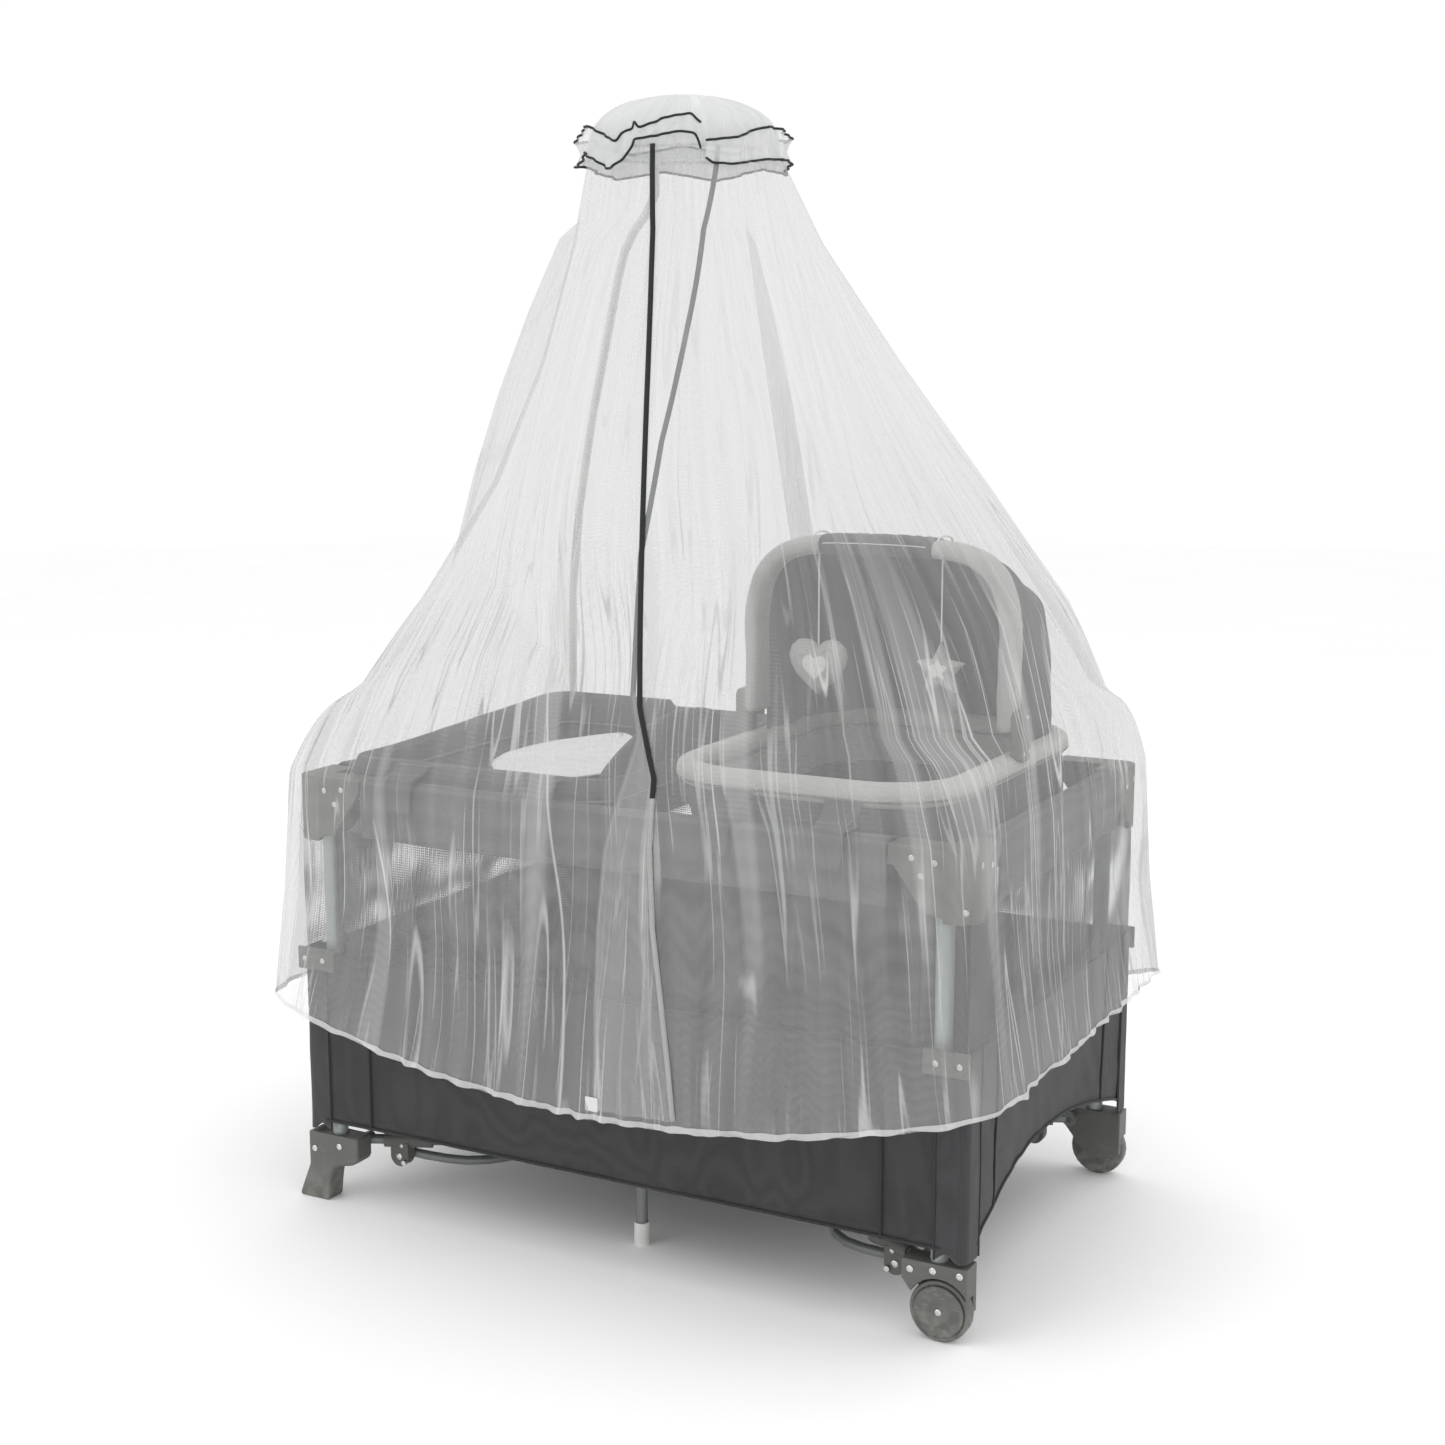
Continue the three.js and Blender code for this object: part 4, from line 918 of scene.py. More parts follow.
@dataclass
class Chassis:
    """The castings, posts, feet, wheels, arms, hub and rocker bows, with their fasteners."""

    shop: Workshop
    half_l: float = 0.6175
    half_w: float = 0.395
    post_u: float = 0.053
    post_v: float = 0.026
    post_r: float = 0.014
    screw_r: float = 0.0048

    def build(self) -> None:
        """Builds every hard piece."""
        for corner in CORNERS:
            self._corner(corner)
        self._rails()
        self._hub()
        for end, sx, body in (("left", -1, "rocker_bow_left"), ("right", 1, "rocker_bow_right")):
            bow = softened(self.shop.nodes, f"rocker_bow_{end}", f"bow_{end}", 0.0)
            soft = bow.modifiers.new("even", "SMOOTH")
            soft.iterations = 2
            soft.factor = 0.3
            settle(bow)
            bow.data.shade_smooth()
            self.shop.add(bow, Palette.BOW, body, "bow_tube")

    def _at(self, corner: Corner, u: float, v: float, z: float) -> tuple[float, float, float]:
        """Returns a point given inwards from a corner."""
        return (corner.sx * (self.half_l - u), corner.sy * (self.half_w - v), z)

    def _corner(self, corner: Corner) -> None:
        """Builds one corner's casting, post, foot or wheel, bracket and screws."""
        tag, frame = corner.tag, corner.frame
        out_y, out_x = (0, corner.sy, 0), (corner.sx, 0, 0)
        self.shop.add(softened(self.shop.nodes, f"upper_corner_{tag}", f"rail_casting_{tag}", 0.003), Palette.CASTING,
                      frame, "casting_plastic")
        bottom, top = self._at(corner, self.post_u, self.post_v, 0.102), self._at(corner, self.post_u, self.post_v, 0.734)
        self.shop.add(tube(f"post_{tag}", [bottom, top], self.post_r, 8, straight=True), Palette.TUBE, frame,
                      "frame_tube", (f"corner_post_{tag}",))
        bm = bmesh.new()
        for u, z in ((0.098, 0.742), (0.062, 0.738), (0.083, 0.716), (0.012, 0.670)):
            screw(bm, self._at(corner, u, -0.0002, z), out_y, self.screw_r)
        for v, z in ((0.030, 0.735), (0.070, 0.728)):
            screw(bm, self._at(corner, -0.0002, v, z), out_x, self.screw_r)
        for u in (0.014, 0.052):
            screw(bm, self._at(corner, u, -0.0072, 0.440), out_y, self.screw_r)
        self._lower_screws(bm, corner)
        self.shop.add(finished(closed_up(bm), f"screws_{tag}"), Palette.STEEL, frame, "bright_steel")
        plate = bmesh.new()
        low, high = self._at(corner, 0.074, 0.0, 0.421), self._at(corner, -0.001, -0.007, 0.460)
        block(plate, [min(a, b) for a, b in zip(low, high)], [max(a, b) for a, b in zip(low, high)], 0.0022)
        self.shop.add(finished(plate, f"clip_plate_{tag}"), Palette.CASTING, frame, "casting_plastic")
        lower = f"foot_{tag}" if corner.sx < 0 else f"wheel_housing_{tag}"
        self.shop.add(softened(self.shop.nodes, lower, f"lower_casting_{tag}", 0.003), Palette.CASTING, frame,
                      "casting_plastic")
        if corner.sx > 0:
            self._wheel(corner)
        self.shop.add(softened(self.shop.nodes, f"bow_bracket_{tag}", f"bracket_{tag}", 0.0018), Palette.CASTING,
                      corner.arms, "casting_plastic")
        bolt = bmesh.new()
        screw(bolt, self._at(corner, 0.145, 0.0708, 0.078), out_y, 0.006)
        screw(bolt, self._at(corner, 0.150, 0.0708, 0.098), out_y, 0.0038)
        self.shop.add(finished(closed_up(bolt), f"bracket_bolt_{tag}"), Palette.STEEL, corner.arms, "bright_steel")
        self.shop.dress(self.shop.nodes[f"bow_lock_button_{tag}"], Palette.STEEL)
        arm = softened(self.shop.nodes, f"lower_arm_{tag}", f"arm_{tag}", 0.0008)
        self.shop.add(arm, Palette.BOW, corner.arms, "bow_tube")

    def _lower_screws(self, bm: bmesh.types.BMesh, corner: Corner) -> None:
        """Adds the screws in a foot or a wheel housing, and its post-end fitting."""
        out = (0, corner.sy, 0)
        spots = ((0.013, 0.092), (0.067, 0.104)) if corner.sx < 0 else ((0.055, 0.112), (0.092, 0.108), (0.012, 0.112))
        for u, z in spots:
            screw(bm, self._at(corner, u, 0.0038, z), out, 0.0055)

    def _wheel(self, corner: Corner) -> None:
        """Builds a flat disc wheel with a shallow dish and its axle screw."""
        tag, body = corner.tag, "wheel_front" if corner.sy < 0 else "wheel_rear"
        wheel = softened(self.shop.nodes, f"wheel_{tag}", f"caster_{tag}", 0.0015)
        self.shop.add(wheel, Palette.TYRE, body, "casting_plastic")
        face = bmesh.new()
        middle = Matrix.Translation(Vector(self._at(corner, 0.045, 0.0042, 0.0485)))
        turn = Vector((0, 0, 1)).rotation_difference(Vector((0, corner.sy, 0))).to_matrix().to_4x4()
        ring = bmesh.ops.create_circle(face, cap_ends=True, segments=48, radius=0.0405, matrix=middle @ turn)["verts"]
        cap = next(f for f in ring[0].link_faces if len(f.verts) == 48)
        for inset, rise in ((0.002, 0.0014), (0.020, 0.0006), (0.004, -0.0012), (0.004, 0.0)):
            bmesh.ops.inset_individual(face, faces=[cap], thickness=inset)
            bmesh.ops.translate(face, verts=cap.verts, vec=Vector((0, corner.sy, 0)) * rise)
        disc = finished(face, f"wheel_disc_{tag}")
        thickened(disc, 0.0012)
        self.shop.add(disc, Palette.TYRE, body, "casting_plastic")
        head = bmesh.new()
        screw(head, self._at(corner, 0.045, 0.0030, 0.0485), (0, corner.sy, 0), 0.0052)
        self.shop.add(finished(closed_up(head), f"axle_screw_{tag}"), Palette.STEEL, body, "bright_steel")

    def _rails(self) -> None:
        """Dresses the rails, which the padding hides, and the latch buttons."""
        for name in ("rail_left", "rail_right", "rail_front_left", "rail_front_right", "rail_rear_left",
                     "rail_rear_right", "napper_frame", "changer_frame", "hood_bow"):
            self.shop.dress(self.shop.nodes[name], Palette.TUBE)
        for side in ("front", "rear"):
            self.shop.dress(self.shop.nodes[f"rail_latch_button_{side}"], Palette.DARK)

    def _hub(self) -> None:
        """Builds the bent hub bar and its two white feet."""
        self.shop.add(softened(self.shop.nodes, "hub_bar", "centre_bar", 0.0008), Palette.BOW, Body.HUB, "frame_tube")
        for side in ("front", "rear"):
            cup = softened(self.shop.nodes, f"centre_foot_{side}", f"centre_cup_{side}", 0.002)
            self.shop.add(cup, Palette.WHITE, Body.HUB, "white_plastic")


# ---- Cloth walls -------------------------------------------------------------------------------------


@dataclass
class Walls:
    """The cloth sides: a lower canvas, a mesh window, a padded rail and a sleeve round each post."""

    shop: Workshop
    fold: Folding = Folding()
    half_x: float = 0.6145
    half_y: float = 0.3925
    low: float = 0.147
    sill: float = 0.452
    rail_low: float = 0.664
    rail_top: float = 0.7645
    seam: float = 0.045
    neck_x: float = 0.4795
    neck_y: float = 0.287

    def build(self) -> None:
        """Builds the four sides."""
        for side in Side:
            self._long(side)
        for sx, body in ((-1, Body.LEFT), (1, Body.RIGHT)):
            self._short(sx, body)
        for corner in CORNERS:
            self._sleeve(corner)

    def _long(self, side: Side) -> None:
        """Builds one long side, which rides on the left end frame."""
        s, name = side.value, side.name.lower()
        reach = self.half_x - self.seam + 0.004

        def canvas(u: float, v: float) -> Vector:
            """The lower canvas, slightly slack between its seams."""
            x = (2 * u - 1) * reach
            z = self.low + (self.sill - self.low) * v
            belly = math.sin(math.pi * v) * (0.5 + 0.5 * math.cos(math.pi * x / reach))
            at = Vector((x, 0, z))
            slack = 0.0035 * belly + ripple(at, 0.16, 0.0022, 1.0) + ripple(Vector((x, 0, z * 0.35)), 0.035, 0.0011, 4.0)
            hem = 0.0016 * (1 - min(v / 0.05, 1.0))
            return Vector((x, s * (self.half_y - 0.002 + slack + hem), z))

        lower = finished(sheet_mesh(150, 34, canvas, (2 * reach, self.sill - self.low)), f"canvas_{name}")
        self._face_out(lower, s)
        thickened(lower, 0.0018)
        self.shop.crumpling(lower, Palette.CHARCOAL, "wall_cloth", self.fold, (f"wall_{name}",))

        def window(u: float, v: float) -> Vector:
            """The mesh window between the posts."""
            x = (2 * u - 1) * 0.5405
            z = self.sill - 0.006 + (self.rail_low + 0.012 - self.sill) * v
            slack = math.sin(math.pi * v) * 0.006 * math.cos(0.5 * math.pi * x / 0.545)
            return Vector((x, s * (self.half_y - 0.0075 - slack + ripple(Vector((x, 0, z)), 0.12, 0.002, 7.0)), z))

        mesh = finished(sheet_mesh(110, 20, window, (1.08, 0.21)), f"mesh_window_{name}")
        self._face_out(mesh, s)
        self.shop.crumpling(mesh, Palette.MESH, "wall_cloth", self.fold)
        self._rail_pad(name, s)
        for x, z0, z1 in ((-0.4775, self.low, self.sill), (0.4775, self.low, self.sill), (-0.530, self.sill, self.rail_low),
                          (0.530, self.sill, self.rail_low)):
            y = s * (self.half_y + 0.0012 - (0.008 if z0 > 0.3 else 0.0))
            line = tube(f"seam_{name}_{'l' if x < 0 else 'r'}_{int(z0 * 100)}", [(x, y, z0), (x, y, z1)], 0.0022, 2,
                        straight=True)
            self.shop.crumpling(line, Palette.SEAM, "wall_cloth", self.fold)
        for z in (self.low + 0.004, self.sill + 0.001):
            y = s * (self.half_y + 0.001)
            points = [((2 * i / 40 - 1) * reach, y, z) for i in range(41)]
            line = tube(f"piping_{name}_{int(z * 1000)}", points, 0.0026, 2)
            self.shop.crumpling(line, Palette.SEAM, "wall_cloth", self.fold)

    def _face_out(self, piece: Thing, sign: int, axis: int = 1) -> None:
        """Turns a sheet's faces so that they look away from the cot."""
        total = sum(p.normal[axis] for p in piece.data.polygons)
        if total * sign < 0:
            piece.data.flip_normals()

    def _rail_pad(self, name: str, s: int) -> None:
        """Builds the padded cover that wraps a long rail, from its inner hem over the top to its outer hem."""
        path = ((0.3475, 0.690), (0.3480, 0.735), (0.3520, 0.757), (0.3640, 0.7645), (0.3800, 0.7645), (0.3925, 0.757),
                (0.3960, 0.740), (0.3958, 0.700), (0.3925, 0.664))
        count = 26

        def pad(u: float, v: float) -> Vector:
            """A soft band that swells between its hems."""
            x = (2 * u - 1) * self.neck_x
            spot = v * (len(path) - 1)
            i = min(int(spot), len(path) - 2)
            f = spot - i
            y, z = (path[i][k] + (path[i + 1][k] - path[i][k]) * f for k in (0, 1))
            sag = -0.004 * math.cos(math.pi * x / self.neck_x / 2) * (1 if z > 0.72 else 0.3)
            puff = ripple(Vector((x, y, z)), 0.075, 0.0028, 3.0) + ripple(Vector((x, y, z * 0.4)), 0.02, 0.0009, 9.0)
            return Vector((x, s * (y + puff), z + sag + 0.6 * puff))

        piece = finished(sheet_mesh(130, count, pad, (2 * self.neck_x, 0.25)), f"rail_cover_{name}")
        self._face_out(piece, s)
        thickened(piece, 0.0035, -1.0)
        piece.data.shade_smooth()
        self.shop.crumpling(piece, Palette.RAIL_PAD, "wall_cloth", self.fold)

    def _short(self, sx: int, body: Body) -> None:
        """Builds one short side, whose lower edge is drawn up in the middle."""
        name = "left" if sx < 0 else "right"
        reach = self.half_y - self.seam + 0.004

        def canvas(u: float, v: float) -> Vector:
            """The lower canvas with its drawn-up hem and creases."""
            y = (2 * u - 1) * reach
            rise = 0.058 * math.cos(0.5 * math.pi * y / reach) ** 0.8
            bottom = self.low + rise
            z = bottom + (self.sill - bottom) * v
            pull = 0.022 * (1 - v) ** 1.5 * math.cos(0.5 * math.pi * y / reach)
            crease = ripple(Vector((0, y * 0.8 + z * 0.5, z * 0.3)), 0.03, 0.003, 5.0) * (1 - 0.6 * v)
            belly = ripple(Vector((0, y, z)), 0.11, 0.004, 6.0)
            return Vector((sx * (self.half_x - 0.002 - pull + crease + belly), y, z))

        lower = finished(sheet_mesh(90, 36, canvas, (2 * reach, 0.3)), f"canvas_{name}")
        self._face_out(lower, sx, 0)
        thickened(lower, 0.0018)
        self.shop.add(lower, Palette.CHARCOAL, body, "wall_cloth", (f"wall_{name}",))

        def window(u: float, v: float) -> Vector:
            """The mesh window, which reaches the posts."""
            y = (2 * u - 1) * (self.half_y - 0.006)
            z = self.sill - 0.006 + (self.rail_low + 0.012 - self.sill) * v
            slack = math.sin(math.pi * v) * 0.005 * math.cos(0.5 * math.pi * y / self.half_y)
            return Vector((sx * (self.half_x - 0.004 - slack + ripple(Vector((0, y, z)), 0.1, 0.0022, 8.0)), y, z))

        mesh = finished(sheet_mesh(70, 20, window, (0.77, 0.21)), f"mesh_window_{name}")
        self._face_out(mesh, sx, 0)
        self.shop.add(mesh, Palette.MESH, body, "wall_cloth")
        path = ((0.5695, 0.690), (0.5700, 0.735), (0.5740, 0.757), (0.5860, 0.7645), (0.6030, 0.7645), (0.6150, 0.757),
                (0.6185, 0.740), (0.6183, 0.700), (0.6150, 0.664))

        def pad(u: float, v: float) -> Vector:
            """The padded cover over a short rail."""
            y = (2 * u - 1) * self.neck_y
            spot = v * (len(path) - 1)
            i = min(int(spot), len(path) - 2)
            x, z = (path[i][k] + (path[i + 1][k] - path[i][k]) * (spot - i) for k in (0, 1))
            puff = ripple(Vector((x, y, z)), 0.07, 0.0026, 2.0)
            sag = -0.003 * math.cos(0.5 * math.pi * y / self.neck_y) * (1 if z > 0.72 else 0.3)
            return Vector((sx * (x + puff), y, z + sag + 0.6 * puff))

        cover = finished(sheet_mesh(80, 26, pad, (2 * self.neck_y, 0.25)), f"rail_cover_{name}")
        self._face_out(cover, sx, 0)
        thickened(cover, 0.0035)
        cover.data.shade_smooth()
        self.shop.add(cover, Palette.RAIL_PAD, body, "wall_cloth")
        for sign in (-1, 1):
            y = sign * 0.262
            points = []
            for i in range(12):
                at = canvas((y / reach + 1) / 2, i / 11)
                points.append((at.x + sx * 0.0012, at.y, at.z))
            self.shop.add(tube(f"seam_{name}_{'f' if sign < 0 else 'r'}", points, 0.0022, 2), Palette.SEAM, body, "wall_cloth")
        points = [tuple(canvas(i / 40, 0.012) + Vector((sx * 0.0014, 0, 0))) for i in range(41)]
        self.shop.add(tube(f"piping_{name}_low", points, 0.0026, 2), Palette.SEAM, body, "wall_cloth")

    def _sleeve(self, corner: Corner) -> None:
        """Builds the canvas pocket that wraps a corner below its clip plate, in a slightly lighter canvas that is a
        painted highlight along the corner fold.
        """
        sx, sy = corner.sx, corner.sy
        r, reach = 0.016, self.seam + 0.006
        arc = 0.5 * math.pi * r
        total = 2 * (reach - r) + arc

        def rule(u: float, v: float) -> Vector:
            """Along the front, round the corner and along the end."""
            s = u * total
            if s < reach - r:
                x, y = self.half_x - reach + s, self.half_y
            elif s < reach - r + arc:
                a = (s - reach + r) / r
                x, y = self.half_x - r + r * math.sin(a), self.half_y - r + r * math.cos(a)
            else:
                x, y = self.half_x, self.half_y - r - (s - reach + r - arc)
            z = self.low - 0.018 + (self.sill + 0.004 - self.low + 0.018) * v
            arch = 0.014 * math.exp(-(((u - 0.2) / 0.14) ** 2)) * (1 - v) ** 6
            puff = ripple(Vector((x * sx, y * sy, z * 0.4)), 0.03, 0.0014, 5.0)
            n = Vector((x - self.half_x + 0.03, y - self.half_y + 0.03, 0)).normalized()
            return Vector((sx * (x + n.x * (puff + 0.0012)), sy * (y + n.y * (puff + 0.0012)), z + arch))

        piece = finished(sheet_mesh(40, 40, rule, (total, 0.32)), f"corner_sleeve_{corner.tag}")
        self._face_out(piece, sy, 1)
        thickened(piece, 0.0018)
        # The lighter sleeve finish is a painted highlight on the corner fold.
        self.shop.add(piece, Palette.SLEEVE, corner.frame, "wall_cloth")
        for u in (0.02, 0.98):
            points = [tuple(rule(u, i / 14)) for i in range(15)]
            seam = tube(f"sleeve_seam_{corner.tag}_{int(u * 100)}", points, 0.0019, 2)
            self.shop.add(seam, Palette.SEAM, corner.frame, "wall_cloth")


@dataclass
class Mattress:
    """The folding floor mattress in four quilted panels."""

    shop: Workshop
    fold: Folding = Folding(anchor=-0.5455)

    def build(self) -> None:
        """Builds the padded board, swells it and presses its fold lines in."""
        low, high = (Vector(p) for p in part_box("mattress"))
        bm = bmesh.new()
        block(bm, (low.x + 0.006, low.y + 0.006, low.z + 0.006), (high.x - 0.006, high.y - 0.006, high.z - 0.007), 0.010)
        piece = inflated(finished(bm, "mattress_pad"), 0.011, 3.0, 0.006)
        for vert in piece.data.vertices:
            share = (vert.co.x - low.x) / (high.x - low.x) * 4
            line = abs(share - round(share)) * (high.x - low.x) / 4 if 0 < round(share) < 4 else 1.0
            top = vert.co.z > (low.z + high.z) / 2
            press = 0.010 * math.exp(-((line / 0.012) ** 2))
            vert.co.z += -press if top else 0.3 * press
        wrinkled(piece, 0.09, 0.0015, 4.0)
        self.shop.crumpling(piece, Palette.MAT_GREY, "inner_cloth", self.fold, ("mattress",))


# ---- Bassinet and hood -------------------------------------------------------------------------------


def loop_path(middle: float, half_x: float, half_y: float, corner: float, z: float, steps: int) -> list[Vector]:
    """Returns points round a rounded rectangle, evenly spaced, from its rear middle towards -X.

    Args:
        middle: the centre's X.
        half_x: half the length.
        half_y: half the width.
        corner: the corner's radius.
        z: the height.
        steps: how many points.
    Returns:
        The points, anticlockwise seen from above.
    """
    sides = [2 * (half_x - corner), 2 * (half_y - corner)]
    arc = 0.5 * math.pi * corner
    total = 2 * sum(sides) + 4 * arc
    points = []
    for i in range(steps):
        s = (i / steps * total + sides[0] / 2) % total
        angle, left = math.pi / 2, s
        x, y = half_x - corner, half_y
        for k in range(4):
            length = sides[k % 2]
            if left <= length:
                x, y = x - left * math.sin(angle), y + left * math.cos(angle)
                break
            left -= length
            x, y = x - length * math.sin(angle), y + length * math.cos(angle)
            if left <= arc:
                turn = left / corner
                cx, cy = x - corner * math.cos(angle), y - corner * math.sin(angle)
                x, y = cx + corner * math.cos(angle + turn), cy + corner * math.sin(angle + turn)
                break
            left -= arc
            cx, cy = x - corner * math.cos(angle), y - corner * math.sin(angle)
            angle += math.pi / 2
            x, y = cx + corner * math.cos(angle), cy + corner * math.sin(angle)
        points.append(Vector((middle + x, y, z)))
    return points


@dataclass
class Basket:
    """A ring-shaped cross section that is carried round a rounded rectangle."""

    middle: float
    half_x: float
    half_y: float
    corner: float
    steps: int = 160

    def shell(self, name: str, profile: Sequence[tuple[float, float]], puff: float, size: float, seed: float,
              rows: int = 24, closed: bool = False) -> Thing:
        """Lofts a profile round the loop.

        Args:
            name: the object's name.
            profile: pairs of inset from the loop and height.
            puff: how deep the cloth's unevenness is.
            size: how broad it is.
            seed: which unevenness.
            rows: steps along the profile.
            closed: whether the profile joins up with itself.
        Returns:
            The new piece.
        """
        loops: dict[int, list[Vector]] = {}
        line = [*profile, profile[0]] if closed else list(profile)

        def rule(u: float, v: float) -> Vector:
            """Along the loop and down the profile."""
            spot = v * (len(line) - 1)
            k = min(int(spot), len(line) - 2)
            f = spot - k
            inset, z = (line[k][j] + (line[k + 1][j] - line[k][j]) * f for j in (0, 1))
            key = round(inset * 1e5)
            if key not in loops:
                corner = max(self.corner - inset, 0.012)
                loops[key] = loop_path(self.middle, self.half_x - inset, self.half_y - inset, corner, 0.0, self.steps)
            at = loops[key][int(round(u * self.steps)) % self.steps].copy()
            at.z = z
            out = Vector((at.x - self.middle, at.y, 0)).normalized()
            bump = ripple(at, size, puff, seed) + ripple(Vector((at.x, at.y, at.z * 0.3)), size * 0.3, puff * 0.4, seed + 2)
            return at + out * bump + Vector((0, 0, 0.4 * bump if closed else 0.0))

        bm = closed_up(sheet_mesh(self.steps, rows, rule, (1.9, 0.3)))
        return finished(bm, name, 60.0)


@dataclass
class Napper:
    """The bassinet: a padded rim, a two-tone liner, a skirt, a pad and straps over the rails."""

    shop: Workshop
    middle: float = 0.292
    half_x: float = 0.230
    half_y: float = 0.322
    corner: float = 0.120
    rim_z: float = 0.812
    rim_r: float = 0.0205
    bottom: float = 0.641

    def build(self) -> None:
        """Builds the bassinet."""
        basket = Basket(self.middle, self.half_x, self.half_y, self.corner)
        round_profile = [(self.rim_r * 1.05 * math.cos(a), self.rim_z + self.rim_r * math.sin(a))
                         for a in (2 * math.pi * i / 16 for i in range(16))]
        rim = basket.shell("napper_rim", round_profile, 0.0016, 0.05, 1.0, rows=16, closed=True)
        self.shop.add(rim, Palette.RIM, Body.NAPPER, "trim_cloth")
        for inset, z, name in ((-0.0200, self.rim_z - 0.007, "outer"), (0.0200, self.rim_z - 0.007, "inner")):
            points = loop_path(self.middle, self.half_x - inset, self.half_y - inset, self.corner - inset, z, 120)
            self.shop.add(tube(f"rim_piping_{name}", points, 0.0022, 2, closed=True), Palette.HOOD_OUT, Body.NAPPER,
                          "inner_cloth")
        skirt = basket.shell("napper_skirt", [(-0.012, self.rim_z - 0.004), (-0.006, 0.79), (0.002, 0.755), (0.012, 0.70),
                                              (0.020, 0.66), (0.034, self.bottom)], 0.004, 0.07, 2.0)
        self.shop.add(thickened(skirt, 0.002, 1.0), Palette.SKIRT, Body.NAPPER, "inner_cloth", ("napper_tub",))
        upper = basket.shell("napper_liner", [(0.010, self.rim_z - 0.002), (0.020, 0.79), (0.024, 0.765), (0.027, 0.735)],
                             0.003, 0.06, 3.0, rows=14)
        self.shop.add(upper, Palette.LINER, Body.NAPPER, "inner_cloth")
        lower = basket.shell("napper_liner_low", [(0.026, 0.738), (0.032, 0.70), (0.042, 0.668)], 0.003, 0.06, 4.0, rows=12)
        self.shop.add(lower, Palette.MAT_GREY, Body.NAPPER, "inner_cloth")
        seam = loop_path(self.middle, self.half_x - 0.026, self.half_y - 0.026, self.corner - 0.026, 0.737, 100)
        self.shop.add(tube("liner_seam", seam, 0.0018, 2, closed=True), Palette.SEAM, Body.NAPPER, "inner_cloth")
        bm = bmesh.new()
        block(bm, (self.middle - 0.180, -0.272, self.bottom + 0.004), (self.middle + 0.180, 0.272, self.bottom + 0.024), 0.009)
        pad = inflated(finished(bm, "napper_pad"), 0.0085, 3.0, 0.005)
        self.shop.add(wrinkled(pad, 0.06, 0.0014, 3.0), Palette.MAT_GREY, Body.NAPPER, "inner_cloth")
        for side in Side:
            for x in (0.197, 0.387):
                self._strap(side, x)
        for end in ("left", "right"):
            self._hinge(end)

    def _strap(self, side: Side, x: float) -> None:
        """Builds a cloth tab that covers a hook over a rail."""
        s = side.value
        path = ((0.338, 0.806), (0.352, 0.790), (0.366, 0.776), (0.384, 0.7735), (0.3965, 0.768), (0.4005, 0.750),
                (0.4003, 0.709))

        def rule(u: float, v: float) -> Vector:
            """Down the tab, which narrows."""
            spot = v * (len(path) - 1)
            k = min(int(spot), len(path) - 2)
            y, z = (path[k][j] + (path[k + 1][j] - path[k][j]) * (spot - k) for j in (0, 1))
            half = 0.031 - 0.009 * v
            round_off = half * (1 - 0.25 * max(0.0, (v - 0.9) / 0.1) ** 2)
            return Vector((x + (2 * u - 1) * round_off, s * (y + ripple(Vector((u, v, x)), 0.4, 0.0012)), z))

        tab = finished(sheet_mesh(16, 40, rule, (0.06, 0.14)), f"hook_tab_{side.name.lower()}_{int(x * 1000)}")
        if sum(p.normal.y for p in tab.data.polygons) * s < 0:
            tab.data.flip_normals()
        thickened(tab, 0.003, 1.0)
        self.shop.add(tab, Palette.RAIL_PAD, Body.NAPPER, "inner_cloth")

    def _hinge(self, end: str) -> None:
        """Rounds a hood hinge and gives it its screws."""
        block_piece = softened(self.shop.nodes, f"hood_hinge_{end}", f"hinge_{end}", 0.002)
        self.shop.add(block_piece, Palette.CASTING, Body.NAPPER, "dark_plastic")
        low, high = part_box(f"hood_hinge_{end}")
        bm = bmesh.new()
        x = 0.0347 - 0.0002 if end == "left" else 0.5493 + 0.0002
        for y, z in ((-0.012, low[2] + 0.014), (0.012, low[2] + 0.014), (0.0, high[2] - 0.012)):
            screw(bm, (x, y, z), (-1 if end == "left" else 1, 0, 0), 0.0038)
        self.shop.add(finished(closed_up(bm), f"hinge_screws_{end}"), Palette.STEEL, Body.NAPPER, "bright_steel")


